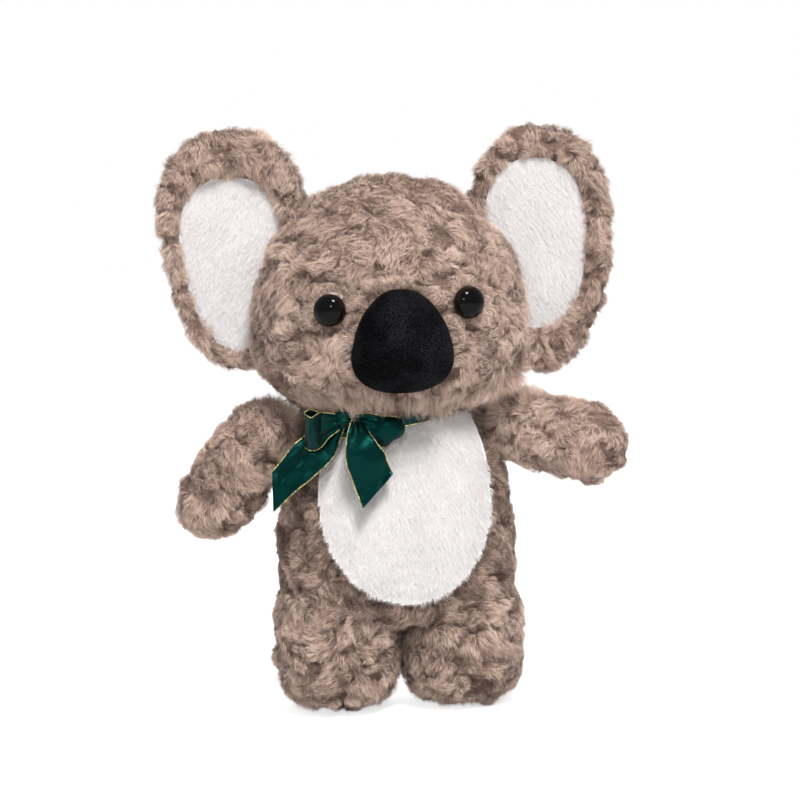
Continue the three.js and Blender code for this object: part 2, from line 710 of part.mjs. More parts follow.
const neckband = cut(neckRing(0, NECKBAND_HEIGHT), headPath, ...armholes, knotClearance);
const byKnot = [knotClearance, headPath];
addPiece(torso, "neck_ribbon", neckband, satin());
addPiece(torso, "bow_knot", cut(stuffed(knotForm), headPath), satin());
addPiece(torso, "bow_loop_right", cut(loop(-1, LOOP_RIGHT_LENGTH), ...byKnot), satin());
addPiece(torso, "bow_loop_left", cut(loop(1, LOOP_LEFT_LENGTH), ...byKnot), satin());
addPiece(torso, "bow_tail_right", cut(tail(-1, TAILS.right, { x: 0, z: 1 }), ...byKnot), satin());
addPiece(torso, "bow_tail_left", cut(tail(1, TAILS.left, { x: -1, z: -1 }), ...byKnot), satin());

// The part's origin is the middle of its bounding box, on the floor
const bounds = new THREE.Box3().setFromObject(koala, true);
const middle = bounds.getCenter(new THREE.Vector3());
koala.position.set(-middle.x, -middle.y, -bounds.min.z);

export default koala;
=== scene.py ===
import json
import math
from collections import namedtuple

import bpy
import numpy as np
from mathutils import Matrix, Vector, kdtree


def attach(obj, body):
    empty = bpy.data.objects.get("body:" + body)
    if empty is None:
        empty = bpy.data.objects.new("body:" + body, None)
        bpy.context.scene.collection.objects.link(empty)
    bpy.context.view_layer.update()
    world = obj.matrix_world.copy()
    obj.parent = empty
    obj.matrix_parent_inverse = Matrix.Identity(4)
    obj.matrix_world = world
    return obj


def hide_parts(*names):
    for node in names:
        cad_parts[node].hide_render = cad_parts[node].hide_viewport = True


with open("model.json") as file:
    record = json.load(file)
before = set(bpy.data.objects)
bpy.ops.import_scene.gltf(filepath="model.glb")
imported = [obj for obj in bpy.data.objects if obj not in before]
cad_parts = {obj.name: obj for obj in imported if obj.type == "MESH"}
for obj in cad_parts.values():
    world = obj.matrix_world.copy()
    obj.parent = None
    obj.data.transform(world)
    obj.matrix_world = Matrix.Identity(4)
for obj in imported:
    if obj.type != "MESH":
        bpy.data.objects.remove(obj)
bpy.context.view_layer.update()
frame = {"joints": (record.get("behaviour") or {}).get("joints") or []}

# The plush koala's covers as fur over stuffed skins, its felted nose, eyes and satin bow. Metres, +Z up, and
# the face looks along -Y. The forms below have the sizes and places of the part's own solids, and differ from
# them by a few millimetres where the photograph's outline does.

MM = 0.001
neck_turn = next(joint for joint in frame["joints"] if joint["name"] == "neck_turn")
NECK = Vector(neck_turn["pos_m"])
AXIS_X = NECK.x  # the toy's own middle plane
AXIS_Y = NECK.y + 2 * MM
BODY_TOP = NECK.z
HEAD_MIDDLE = BODY_TOP + 41.2 * MM


# Random numbers and smooth random fields, always the same

def field(seed, scale, count=7):
    """A smooth random value, about -1 to 1, at each of the points."""
    rng = np.random.default_rng(seed)
    ways = rng.normal(size=(count, 3))
    ways *= (2 * math.pi / scale * rng.uniform(0.6, 1.5, count) / np.linalg.norm(ways, axis=1))[:, None]
    phases = rng.uniform(0, 2 * math.pi, count)
    return lambda points: np.sin(points @ ways.T + phases).sum(1) / math.sqrt(count)


def unit(vectors):
    return vectors / np.maximum(np.linalg.norm(vectors, axis=-1, keepdims=True), 1e-12)


def dots(a, b):
    return (a * b).sum(-1, keepdims=True)


def smooth(low, high, value):
    share = np.clip((value - low) / (high - low), 0, 1)
    return share * share * (3 - 2 * share)


# Stuffed forms

FAR_OUT = 9.0  # what a share says well outside a form


def placed(at, x=0, y=0, z=0):
    turn = Matrix.Identity(4)
    for degrees, axis in ((z, "Z"), (y, "Y"), (x, "X")):
        turn = turn @ Matrix.Rotation(math.radians(degrees), 4, axis)
    return Matrix.Translation(at) @ turn


class Form:
    """A form that swells between two poles on its local Z, as in the part's solids."""

    def __init__(self, size, matrix, upper=2.0, lower=2.0, taper=0.0, section=2.0, section_taper=0.0):
        self.size = np.array(size)
        self.matrix = np.array(matrix)
        self.back = np.linalg.inv(self.matrix)
        self.upper, self.lower, self.taper = upper, lower, taper
        self.section, self.section_taper = section, section_taper
        self.widest = self.profile(np.linspace(-0.99, 0.99, 397)).max()
        self.broadest = self.outline(np.linspace(0, 2 * math.pi, 721))[0].max()

    def profile(self, t):
        full = np.where(t > 0, self.upper, self.lower)
        return np.clip(1 - np.abs(t) ** full, 0, 1) ** (1 / full) * (1 - self.taper * t)

    def outline(self, angle):
        share = 2 / self.section
        across = np.sign(np.cos(angle)) * np.abs(np.cos(angle)) ** share
        along = np.sign(np.sin(angle)) * np.abs(np.sin(angle)) ** share
        return across * (1 + self.section_taper * along), along

    def local(self, u, v, grow=0.0):
        t = -np.cos(np.pi * v)
        share = self.profile(t) / self.widest
        across, along = self.outline(2 * np.pi * u)
        half = self.size / 2 + grow
        return np.stack([across / self.broadest * share * half[0], along * share * half[1], t * half[2]], -1)

    def to_local(self, points):
        return points @ self.back[:3, :3].T + self.back[:3, 3]

    def to_world(self, points):
        return points @ self.matrix[:3, :3].T + self.matrix[:3, 3]

    def section_share(self, across, along):
        """Under 1 inside the form's section, for places in shares of its half sizes."""
        across = across * self.broadest / np.maximum(1 + self.section_taper * along, 0.2)
        return (np.abs(across) ** self.section + np.abs(along) ** self.section) ** (1 / self.section)

    def depth(self, points, grow=0.0):
        """Under 1 inside the form, 1 on its surface."""
        local = self.to_local(points)
        half = self.size / 2 + grow
        t = local[..., 2] / half[2]
        share = np.maximum(self.profile(np.clip(t, -1, 1)) / self.widest, 1e-6)
        inside = self.section_share(local[..., 0] / (share * half[0]), local[..., 1] / (share * half[1]))
        return np.where(np.abs(t) < 1, inside, FAR_OUT)


# Full sizes of the stuffed forms: across, front to back and up, or for the nose out of the face
BODY_SIZE = np.array([125, 94, 131]) * MM
LEG_SIZE = np.array([66, 80, 70]) * MM
HEAD_SIZE = np.array([143, 118, 123]) * MM
NOSE_SIZE = np.array([50.5, 51.5, 30]) * MM
ARM_WIDTH, ARM_DEPTH = 44 * MM, 40 * MM
BALL = 18.5 * MM  # radius of the arm's rounded root
BALL_SHARE = 0.7  # of that radius, how far the sleeve reaches into it

LEG_ASIDE, LEG_FORWARD, LEG_MIDDLE = 31.6 * MM, 3 * MM, 34.5 * MM
LEGS_OFF = 0.5 * MM  # how far both stand towards the toy's right
HEAD_FORWARD = 5 * MM
HEAD_ROLL = -1  # degrees, left side higher
NOSE_FORWARD, NOSE_DROP, NOSE_TURN = 55 * MM, 20 * MM, 100
SHOULDER_FORWARD = 5 * MM

body_form = Form(
    BODY_SIZE, placed(Vector((AXIS_X, AXIS_Y, BODY_TOP - BODY_SIZE[2] / 2))),
    upper=3, lower=3.8, taper=0.12, section=2.2)
leg_forms = {
    name: Form(
        LEG_SIZE, placed(Vector((AXIS_X + side * LEG_ASIDE - LEGS_OFF, AXIS_Y - LEG_FORWARD, LEG_MIDDLE))),
        upper=3.6, lower=3.2, section=2.3)
    for name, side in (("right", -1), ("left", 1))}
head_form = Form(
    HEAD_SIZE, placed(Vector((AXIS_X, AXIS_Y - HEAD_FORWARD, HEAD_MIDDLE)), y=HEAD_ROLL),
    upper=2.3, lower=2.5, taper=0.17, section=2.15)
nose_form = Form(
    NOSE_SIZE, Matrix(head_form.matrix) @ placed(Vector((0, -NOSE_FORWARD, -NOSE_DROP)), x=NOSE_TURN),
    upper=2.4, lower=2.4, section=2.3, section_taper=-0.25)

# Each arm, in mm and degrees: how far its shoulder lies from the toy's middle and below the body's top, how
# far it hangs below level and points forward, and its reach. Then come its sleeve's move and further drop, as
# photographed, and how full the sleeve's two ends are.
ARMS = {
    "right": {"side": -1, "out": 64.5, "below": 27, "dip": 50, "forward": 6, "reach": 64,
              "moved": (-1.0, 0, 3.6), "drop": 4, "upper": 2.6, "lower": 3.4},
    "left": {"side": 1, "out": 60, "below": 28.5, "dip": 13, "forward": 30, "reach": 65,
             "moved": (0, 0, 1.8), "drop": 0, "upper": 2.4, "lower": 2.8},
}


def arm_matrix(arm, drop=0):
    shoulder = Vector((
        AXIS_X + arm["side"] * arm["out"] * MM, AXIS_Y - SHOULDER_FORWARD, BODY_TOP - arm["below"] * MM))
    return placed(shoulder, y=arm["side"] * (90 + arm["dip"] + drop), z=-arm["side"] * arm["forward"])


arm_forms = {
    name: Form(
        np.array([ARM_WIDTH, ARM_DEPTH, arm["reach"] * MM + BALL_SHARE * BALL]),
        Matrix.Translation(Vector(arm["moved"]) * MM) @ arm_matrix(arm, arm["drop"])
        @ Matrix.Translation((0, 0, (arm["reach"] * MM - BALL_SHARE * BALL) / 2)),
        upper=arm["upper"], lower=arm["lower"], taper=-0.1)
    for name, arm in ARMS.items()}
ball_forms = {name: Form(np.full(3, 2 * BALL), arm_matrix(arm)) for name, arm in ARMS.items()}

# Each ear and its white lining, in mm and degrees: how far its middle lies from the toy's middle and above
# the head's, its full size, how far it leans, and for the ear how much wider its top is than its bottom
EARS = {
    "right": {"side": -1, "out": 75, "above": 25.1, "size": (79, 125), "lean": 4, "top": 0.15,
              "lining": {"out": 76.4, "above": 18.6, "size": (52.5, 87.5), "lean": 5}},
    "left": {"side": 1, "out": 79, "above": 20.1, "size": (80, 128.6), "lean": 3, "top": 0.08,
             "lining": {"out": 77.4, "above": 23.4, "size": (54, 87), "lean": 0}},
}
EAR_SWEEP = 5  # degrees, outer edges back


def ear_form(ear, spec, y, thickness, upper, lower):
    at = Vector((AXIS_X + ear["side"] * spec["out"] * MM, AXIS_Y + y * MM, HEAD_MIDDLE + spec["above"] * MM))
    turn = {"x": 90, "y": ear["side"] * spec["lean"], "z": ear["side"] * EAR_SWEEP}
    return Form(
        np.array([*spec["size"], thickness]) * MM, placed(at, **turn),
        upper=upper, lower=lower, section=2.4, section_taper=ear["top"])


ear_forms = {name: ear_form(ear, ear, y=8, thickness=24, upper=3, lower=2.4) for name, ear in EARS.items()}
lining_forms = {
    name: ear_form(ear, ear["lining"], y=6, thickness=8, upper=2.6, lower=6) for name, ear in EARS.items()}


# Surfaces: grids of points with their normals, from which skins are made and hair grows

def cells(grid, closed=True):
    """The corners of each of the grid's cells, in the order (0,0), (1,0), (1,1), (0,1)."""
    grid = np.concatenate([grid, grid[:1]]) if closed else grid
    corners = [grid[:-1, :-1], grid[1:, :-1], grid[1:, 1:], grid[:-1, 1:]]
    return np.stack(corners, 2).reshape(-1, 4, *grid.shape[2:])


class Surface:
    """A grid of points. A closed one goes round along its first side and ends in a pole at either end."""

    def __init__(self, points, closed):
        self.points = points
        self.mounds = None
        along_u = np.roll(points, -1, 0) - np.roll(points, 1, 0) if closed else np.gradient(points, axis=0)
        along_v = np.gradient(points, axis=1)
        self.normals = unit(np.cross(along_u, along_v))
        if closed:
            for end, inner in ((0, 1), (-1, -2)):
                self.normals[:, end] = unit(self.normals[:, inner].mean(0))

    def roots(self, density, seed):
        """Random points on the surface, with their normals: so many to a square metre."""
        rng = np.random.default_rng(seed)
        points, normals = cells(self.points), cells(self.normals)
        areas = np.linalg.norm(np.cross(points[:, 2] - points[:, 0], points[:, 3] - points[:, 1]), axis=1) / 2
        count = int(areas.sum() * density)
        chosen = np.searchsorted(np.cumsum(areas), rng.random(count) * areas.sum()).clip(0, len(areas) - 1)
        a, b = rng.random((2, count, 1))
        shares = ((1 - a) * (1 - b), a * (1 - b), a * b, (1 - a) * b)
        at = sum(share * points[chosen, k] for k, share in enumerate(shares))
        facing = unit(sum(share * normals[chosen, k] for k, share in enumerate(shares)))
        return at, facing


# The waves that lay out the hollows between the locks of pile on the solids, and how deep those are
CURL_DEPTH = 2.6 * MM
CURL_LENGTHS = np.array([26, 30, 34, 28, 38]) * MM
CURL_WAYS = np.array([
    [0.62, 0.31, 0.72], [-0.55, 0.78, 0.3], [0.81, -0.5, -0.31], [0.2, 0.45, -0.87], [-0.7, -0.6, 0.39]])
CURL_STARTS = np.array([0.1, 0.45, 0.75, 0.3, 0.9])
ORIGIN = np.array([AXIS_X, AXIS_Y, 0.0])


def crests(points):
    """1 on the locks' crests, 0 in the hollows between them."""
    waves = np.sin(2 * math.pi * ((points - ORIGIN) @ CURL_WAYS.T / CURL_LENGTHS + CURL_STARTS))
    return ((1 + waves.sum(1) / math.sqrt(len(CURL_LENGTHS))) / 2).clip(0, 1)


lumps = field(11, 16 * MM)
ripples = field(12, 7 * MM)
FLOOR = 0.4 * MM  # how far above the floor skins end
DEEPEST = 7.5 * MM  # of a skin inside its form
MOUND = 10.5 * MM  # from one to the next
CREASE_DEPTH = 3.2 * MM
CREASE_WIDTH = 0.25  # of a mound
WARP = 0.25  # of a mound, how far the creases wander
UNDER_DEPTH = 1.4 * MM  # of a skin under another cloth


def lump_heights(points):
    return (0.85 + 0.6 * lumps(points) + 0.5 * ripples(points)).clip(0, 2)


def tree_of(points):
    tree = kdtree.KDTree(len(points))
    for k, point in enumerate(points):
        tree.insert(point, k)
    tree.balance()
    return tree


def nearest(tree, points):
    return np.array([tree.find(point)[1] for point in points.tolist()])


class Mounds:
    """Mounds of pile over a surface, with creases between them that come and go."""

    def __init__(self, surface, size, seed):
        self.size = size
        self.seeds, self.normals = surface.roots(1 / size ** 2, seed)
        self.tree = tree_of(self.seeds)
        self.warps = [field(seed + k, 10 * MM) for k in (3, 4, 5)]
        self.broken = field(seed + 9, 12 * MM)

    def at(self, points):
        """For each point its mound, and how far it is in a crease, from 0 to 1."""
        warp = np.stack([warp(points) for warp in self.warps], -1) * self.size * WARP
        found = [self.tree.find_n(point, 2) for point in (points + warp).tolist()]
        which = np.array([near[0][1] for near in found])
        apart = np.array([near[1][2] - near[0][2] for near in found])
        crease = (1 - smooth(0, CREASE_WIDTH * self.size, apart)) * smooth(-0.5, 0.3, self.broken(points))
        return which, crease


def laid_out(nu, nv):
    """Places round a form, and from one of its poles to the other."""
    return np.meshgrid(np.arange(nu) / nu, np.linspace(0, 1, nv + 1), indexing="ij")


def moved_out(plain, height):
    """The closed surface moved out by the height at each of its points, with its mounds."""
    moved = plain.points.reshape(-1, 3) + plain.normals.reshape(-1, 3) * height[:, None]
    moved[:, 2] = np.maximum(moved[:, 2], FLOOR)
    surface = Surface(moved.reshape(plain.points.shape), True)
    surface.mounds = plain.mounds
    return surface


def form_surface(form, inset, bumps, nu=180, nv=120, curled=False, seed=None, under=None, creased=1.0):
    """The form's surface, so far in, with bumps of about this height. With a seed it has mounds, whose
    creases are as deep as creased says, and curled gives it the solids' own hollows. under says where, from 0
    to 1, it lies under another cloth."""
    plain = Surface(form.to_world(form.local(*laid_out(nu, nv), -inset)), True)
    flat = plain.points.reshape(-1, 3)
    height = bumps * lump_heights(flat)
    if curled:
        height += CURL_DEPTH * (crests(flat) - 1)
    if seed is not None:
        plain.mounds = Mounds(plain, MOUND, seed)
        height -= creased * CREASE_DEPTH * plain.mounds.at(flat)[1]
    height = np.maximum(height, inset - DEEPEST)
    if under is not None:
        height += (-UNDER_DEPTH - height) * under(flat)
    return moved_out(plain, height)


# Meshes

def linked(name, data):
    made = bpy.data.objects.new(name, data)
    bpy.context.scene.collection.objects.link(made)
    return made


def mesh_object(name, vertices, faces, material):
    mesh = bpy.data.meshes.new(name)
    mesh.from_pydata([tuple(v) for v in vertices], [], [tuple(f) for f in faces])
    mesh.polygons.foreach_set("use_smooth", [True] * len(mesh.polygons))
    mesh.update()
    mesh.materials.append(material)
    return linked(name, mesh)


def grid_mesh(name, grid, material, closed=False):
    nu, nv = grid.shape[:2]
    index = np.arange(nu * nv).reshape(nu, nv)
    return mesh_object(name, grid.reshape(-1, 3), cells(index, closed), material)


def skin(name, surface, material, keep=None):
    """The closed surface as a mesh, without the cells whose middle isn't kept."""
    nu, rows = surface.points.shape[:2]
    points = surface.points.reshape(-1, 3)
    index = np.arange(nu * rows).reshape(nu, rows)
    faces = cells(index)
    if keep is not None:
        faces = faces[keep(points[faces].mean(1))]
    poles = {int(k): int(index[0, row]) for row in (0, rows - 1) for k in index[:, row]}
    corners = [list(dict.fromkeys(poles.get(k, k) for k in face)) for face in faces.tolist()]
    faces = [face for face in corners if len(face) > 2]
    used = sorted({k for face in faces for k in face})
    place = {k: i for i, k in enumerate(used)}
    return mesh_object(name, points[used], [[place[k] for k in face] for face in faces], material)


TINTS = 64
KNEE_WIDTH = 0.8  # of the width at a hair's root


def hair_mesh(name, lines, across, widths, tints, material):
    """Flat hairs. lines has three points to each hair, from root to tip, and the tip is a point."""
    count = len(lines)
    half = across * (widths / 2)[:, None]
    vertices = np.empty((count, 5, 3), np.float32)
    for k, share in enumerate((1.0, KNEE_WIDTH)):
        vertices[:, 2 * k] = lines[:, k] - half * share
        vertices[:, 2 * k + 1] = lines[:, k] + half * share
    vertices[:, 4] = lines[:, 2]
    first = (5 * np.arange(count))[:, None]
    corner = np.array([0, 1, 3, 2, 2, 3, 4])
    loops = (first + corner).ravel().astype(np.int32)
    starts = ((7 * np.arange(count))[:, None] + np.array([0, 4])).ravel().astype(np.int32)
    mesh = bpy.data.meshes.new(name)
    mesh.vertices.add(5 * count)
    mesh.vertices.foreach_set("co", vertices.ravel())
    mesh.loops.add(7 * count)
    mesh.loops.foreach_set("vertex_index", loops)
    mesh.polygons.add(2 * count)
    mesh.polygons.foreach_set("loop_start", starts)
    mesh.polygons.foreach_set("use_smooth", np.ones(2 * count, bool))
    # Each hair lies in the UV map's column for its tint, from its root at the bottom to its tip at the top
    column = np.floor(np.clip(tints, 0, 0.9999) * TINTS)[:, None] / TINTS
    side = np.array([0.1, 0.9, 0.9, 0.1, 0.1, 0.9, 0.5]) / TINTS
    up = np.array([0.02, 0.02, 0.5, 0.5, 0.5, 0.5, 0.98])
    uv = np.stack([column + side, np.broadcast_to(up, (count, 7))], -1).astype(np.float32)
    layer = mesh.uv_layers.new(name="OFBake")
    layer.data.foreach_set("uv", uv.ravel())
    mesh.update()
    mesh.validate()
    mesh.materials.append(material)
    return linked(name, mesh)


MOST_HAIRS = 95000  # in one piece

# How far mounds, tufts and single hairs stray from their way, curl aside and rise, and how much their lengths
# differ, as shares, and the angle by which a hair's flat side turns
MOUND_STRAY, TUFT_STRAY, HAIR_STRAY = 0.6, 0.30, 0.22
TUFT_CURL, HAIR_CURL = 0.16, 0.1
TUFT_RISE, HAIR_RISE = 0.08, 0.1
MOUND_LENGTHS, HAIR_LENGTHS = 0.1, 0.12
HAIR_TWIST = 0.45
TURNS = 24 * MM  # the length over which the mounds' way turns

KNEE_ALONG, TIP_ALONG = 0.22, 0.8  # of a hair's length, how far along they lie
CROSSING_CUT = 0.6  # of the length that a hair loses where it would cross a crease

# How much the tints differ from mound to mound, tuft to tuft and hair to hair, and the painted shade that
# makes them lighter on high lumps and darker in creases
MOUND_TINT, TUFT_TINT, HAIR_TINT, LUMP_SHADE, CREASE_SHADE = 0.06, 0.05, 0.09, 0.06, 0.7

# A cloth's pile: its material and slot, its hairs' length, width and number to a square mm, the size of its
# mounds and tufts, how far a hair stands up at its knee and tip, how far tufts gather, the way it flows, how
# much its mounds swirl and spin, how much creases shorten its hairs and darken them as painted shade, and how
# much shades and single hairs differ
Coat = namedtuple(
    "Coat", "hair slot length width density clump tuft arch gather flow swirl spin crease shade loose")


def fur(name, surface, coat, keep, body, seed, comb=None, shade_tone=0.0):
    """Hair where it is kept on a surface: mounds that lean their own way, finer tufts inside them, and a tint
    for each hair. comb gives for each root a way to lean, a share of the length and a lift, and the tone
    shifts
    the tints: below 0 it darkens the whole piece, as painted shade."""
    rng = np.random.default_rng(seed)
    density = coat.density * 1.0 / MM ** 2
    wide = 1.0
    mounds = surface.mounds or Mounds(surface, coat.clump, seed + 1)
    seeds = mounds.seeds
    roots, normals = surface.roots(density, seed)
    kept = keep(roots)
    roots, normals = roots[kept], normals[kept]
    count = len(roots)
    which, crease = mounds.at(roots)
    crease = crease[:, None]
    turn = np.stack([field(seed + k, TURNS)(seeds) for k in (6, 7, 8)], -1)
    turn = turn + MOUND_STRAY * rng.normal(size=seeds.shape)
    lean = coat.flow(seeds) + coat.swirl * turn
    lean = unit(lean - mounds.normals * dots(lean, mounds.normals))
    size = rng.normal(1, MOUND_LENGTHS, (len(seeds), 1)).clip(0.7, 1.3)
    tufts, _ = surface.roots(1 / coat.tuft ** 2, seed + 2)
    tuft = nearest(tree_of(tufts), roots)

    def by_mound(*columns):
        return rng.normal(size=(len(seeds), *columns))[which]

    def by_tuft(*columns):
        return rng.normal(size=(len(tufts), *columns))[tuft]

    def by_hair(*columns):
        return rng.normal(size=(count, *columns))

    length = coat.length * size[which] * rng.normal(1, HAIR_LENGTHS, (count, 1)).clip(0.6, 1.4)
    length = length * (1 - coat.crease * crease)
    off = (roots - seeds[which]) / coat.clump
    spin = coat.spin * by_mound(1)
    spread = 0.5 * coat.spin * by_mound(1)
    way = lean[which] + spin * np.cross(normals, off) + spread * off
    way = way + coat.loose * (TUFT_STRAY * by_tuft(3) + HAIR_STRAY * by_hair(3))
    lift = 0.0
    if comb is not None:
        push, share, lift = comb(roots)
        way = way + push
        length = length * share
    way = unit(way - normals * dots(way, normals))
    if coat.crease:
        crossing = mounds.at(roots + TIP_ALONG * length * way)[1][:, None]
        length = length * (1 - CROSSING_CUT * crossing)
    rise = coat.arch[1] + lift + HAIR_RISE * by_hair(1) + TUFT_RISE * by_tuft(1)
    tips = roots + length * (TIP_ALONG * way + rise * normals)
    tuft_tip = tufts[tuft] + (tips - roots)
    tips = tips + coat.gather * rng.uniform(0.5, 1.2, (count, 1)) * (tuft_tip - tips)
    side = np.cross(normals, way)
    curl = coat.loose * length * (TUFT_CURL * by_tuft(1) + HAIR_CURL * by_hair(1))
    knee = roots + coat.arch[0] * length * normals + KNEE_ALONG * length * way + curl * side
    lines = np.stack([
        (1 - s) ** 2 * roots + 2 * s * (1 - s) * knee + s ** 2 * tips for s in (0.0, 0.5, 1.0)], 1)
    lines[..., 2] = np.maximum(lines[..., 2], 0.5 * FLOOR)
    along = unit(lines[:, 2] - lines[:, 1])
    across = unit(np.cross(along, normals))
    twist = rng.normal(0, HAIR_TWIST, (count, 1))
    across = unit(across * np.cos(twist) + np.cross(along, across) * np.sin(twist))
    widths = coat.width * wide * rng.uniform(0.7, 1.3, count)
    # The tints differ at random by mound, tuft and hair, with painted shade: lighter on high lumps and darker
    # in creases. The piece's tone shifts them all.
    tint = 0.5 + shade_tone + coat.shade * (
        MOUND_TINT * by_mound() + TUFT_TINT * by_tuft() + HAIR_TINT * by_hair() + LUMP_SHADE * lumps(roots)
        - CREASE_SHADE * coat.crease * crease[:, 0])
    for part, start in enumerate(range(0, count, MOST_HAIRS)):
        span = slice(start, start + MOST_HAIRS)
        label = name if count <= MOST_HAIRS else f"{name}_{part + 1}"
        piece = hair_mesh(label, lines[span], across[span], widths[span], tint[span], coat.hair)
        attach(piece, body)


def dressed(piece, body, slot, fill, *solids):
    """Puts a piece on its body, in place of the solids, where there are any. Its slot and fill are not used.
    """
    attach(piece, body)
    if solids:
        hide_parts(*solids)


# Materials. The id_data of a node or a socket is the node tree that it is in.

def material_of(name, looks):
    """A new material and its shader, which gets these inputs."""
    material = bpy.data.materials.new(name)
    material.use_nodes = True
    shader = material.node_tree.nodes["Principled BSDF"]
    for label, value in looks.items():
        shader.inputs[label].default_value = value
    return material, shader


def join(output, socket):
    output.id_data.links.new(output, socket)


def node(beside, kind, inputs=None, **settings):
    """A new node in the tree of a node or socket, with its inputs set to values or joined to sockets."""
    made = beside.id_data.nodes.new(kind)
    for key, value in settings.items():
        setattr(made, key, value)
    for key, value in (inputs or {}).items():
        if isinstance(value, bpy.types.NodeSocket):
            join(value, made.inputs[key])
        else:
            made.inputs[key].default_value = value
    return made


def ramp(value, stops):
    made = node(value, "ShaderNodeValToRGB", {"Fac": value})
    elements = made.color_ramp.elements
    while len(elements) < len(stops):
        elements.new(0.5)
    for element, (place, colour) in zip(elements, stops):
        element.position = place
        element.color = (*colour, 1)
    return made.outputs["Color"]


def multiplied(a, b):
    mix = node(a, "ShaderNodeMix", {"Factor": 1, "A": a, "B": b}, data_type="RGBA", blend_type="MULTIPLY")
    return mix.outputs["Result"]


def noise(shader, scale, detail=3.0, stretch=(1, 1, 1)):
    place = node(shader, "ShaderNodeTexCoord").outputs["Object"]
    mapping = node(shader, "ShaderNodeMapping", {"Vector": place, "Scale": stretch})
    made = node(shader, "ShaderNodeTexNoise", {
        "Vector": mapping.outputs["Vector"], "Scale": scale, "Detail": detail})
    return made.outputs["Fac"]


def coloured(shader, colour):
    join(colour, shader.inputs["Base Color"])


def bumped(shader, height, distance):
    bump = node(shader, "ShaderNodeBump", {"Height": height, "Distance": distance})
    join(bump.outputs["Normal"], shader.inputs["Normal"])


def uv_parts(shader):
    place = node(shader, "ShaderNodeUVMap", uv_map="OFBake").outputs["UV"]
    parts = node(shader, "ShaderNodeSeparateXYZ", {"Vector": place})
    return parts.outputs["X"], parts.outputs["Y"]


def grey(value):
    return (value, value, value)


def hair_material(name, tints, root_shades, sheen):
    """Pile with tints by the column of its UV map, darker towards its hairs' roots as painted shade."""
    material, shader = material_of(name, {
        "Roughness": 0.85, "Specular IOR Level": 0.25, "Sheen Weight": sheen, "Sheen Roughness": 0.5})
    column, height = uv_parts(shader)
    coloured(shader, multiplied(ramp(column, tints), ramp(height, root_shades)))
    return material


BACKING_GRAIN = 500


def skin_material(name, dark, light):
    """The cloth under the pile."""
    material, shader = material_of(name, {"Roughness": 0.95, "Specular IOR Level": 0.1})
    coloured(shader, ramp(noise(shader, BACKING_GRAIN), ((0.3, dark), (0.7, light))))
    bumped(shader, noise(shader, 2 * BACKING_GRAIN), 0.6 * MM)
    return material


brown_hair = hair_material(
    "brown_pile",
    ((0.0, (0.15, 0.096, 0.073)), (0.25, (0.38, 0.262, 0.208)), (0.5, (0.66, 0.482, 0.395)),
     (1.0, (0.86, 0.70, 0.59))),
    ((0.0, grey(0.42)), (0.4, grey(0.85)), (0.75, grey(1.0)), (1.0, grey(1.0))), sheen=0.25)
white_hair = hair_material(
    "white_pile",
    ((0.0, (0.70, 0.677, 0.672)), (0.5, (0.755, 0.731, 0.726)), (1.0, (0.81, 0.79, 0.785))),
    ((0.0, grey(0.92)), (0.5, grey(0.98)), (1.0, grey(1.0))), sheen=0.1)
# The brown backing is much darker than its pile: its cloth's own colour, darkened as painted shade of the
# pile's depth.
brown_skin_and_shade = skin_material("brown_backing_and_shade", (0.13, 0.085, 0.067), (0.20, 0.135, 0.108))
white_skin = skin_material("white_backing", (0.74, 0.71, 0.70), (0.82, 0.80, 0.79))


# Coats

def down(points):
    return np.array([0.0, 0.0, -1.0])


def outward(points):
    flow = points - np.array([AXIS_X, AXIS_Y + 30 * MM, HEAD_MIDDLE + 10 * MM])
    return unit(flow) * 0.8 + np.array([0, 0, -0.3])


curly = Coat(
    hair=brown_hair, slot="curly_pile", length=4.6 * MM, width=0.11 * MM, density=6.4, clump=MOUND,
    tuft=1.1 * MM, arch=(0.5, 0.34), gather=0.3, flow=down, swirl=0.8, spin=0.8, crease=0.7, shade=1.15,
    loose=0.6)
rough_curly = curly._replace(tuft=1.2 * MM, gather=0.42, shade=1.8, loose=0.8)
face_curly = curly._replace(flow=outward, swirl=0.7, shade=0.88)
short = Coat(
    hair=white_hair, slot="white_pile", length=3.0 * MM, width=0.11 * MM, density=8.0, clump=14 * MM,
    tuft=0.9 * MM, arch=(0.5, 0.45), gather=0.1, flow=down, swirl=0.1, spin=0.04, crease=0.0, shade=0.22,
    loose=0.5)

# How far skins lie inside the covers' outlines and how high their bumps are: those of the legs, arms and
# ears, then of the head and torso, then of the belly, and the bumps of the arms' round roots
INSET, LUMP = 3.6 * MM, 1.4 * MM
CURL_INSET, CURL_BUMP = 2.2 * MM, 1.0 * MM
WHITE_INSET, WHITE_BUMP = 1.6 * MM, 0.3 * MM
ROOT_BUMP = 0.5 * MM

FUR_REACH = 4 * MM  # how far pile goes on into a neighbouring form, unless a call says otherwise

legs = list(leg_forms.values())
arms = list(arm_forms.values())
ears = list(ear_forms.values())


def outside(points, *forms, reach=FUR_REACH):
    """Which points lie outside the forms, or inside them by less than the reach."""
    kept = np.ones(len(points), bool)
    for form in forms:
        kept &= form.depth(points, -reach) > 1
    return kept


def off_neck(points):
    """How far to the toy's left, back and up from the middle of the neck's seam, in mm."""
    return (points - np.array([AXIS_X, AXIS_Y, BODY_TOP])).T[..., None] / MM


# Torso, belly and legs. The white panel is an oval, longer above its widest place than below.

PANEL_HALF, PANEL_ABOVE, PANEL_BELOW = 42.4 * MM, 68 * MM, 49 * MM
PANEL_MIDDLE = np.array([AXIS_X + 2.2 * MM, 0, BODY_TOP - 60.5 * MM])


def panel_share(points):
    """Under 1 inside the white panel, for points on the torso's front."""
    across, _, up = (points - PANEL_MIDDLE).T
    along = up / np.where(up > 0, PANEL_ABOVE, PANEL_BELOW)
    return np.where(points[:, 1] < AXIS_Y, np.hypot(across / PANEL_HALF, along), FAR_OUT)


edge = field(21, 5 * MM)


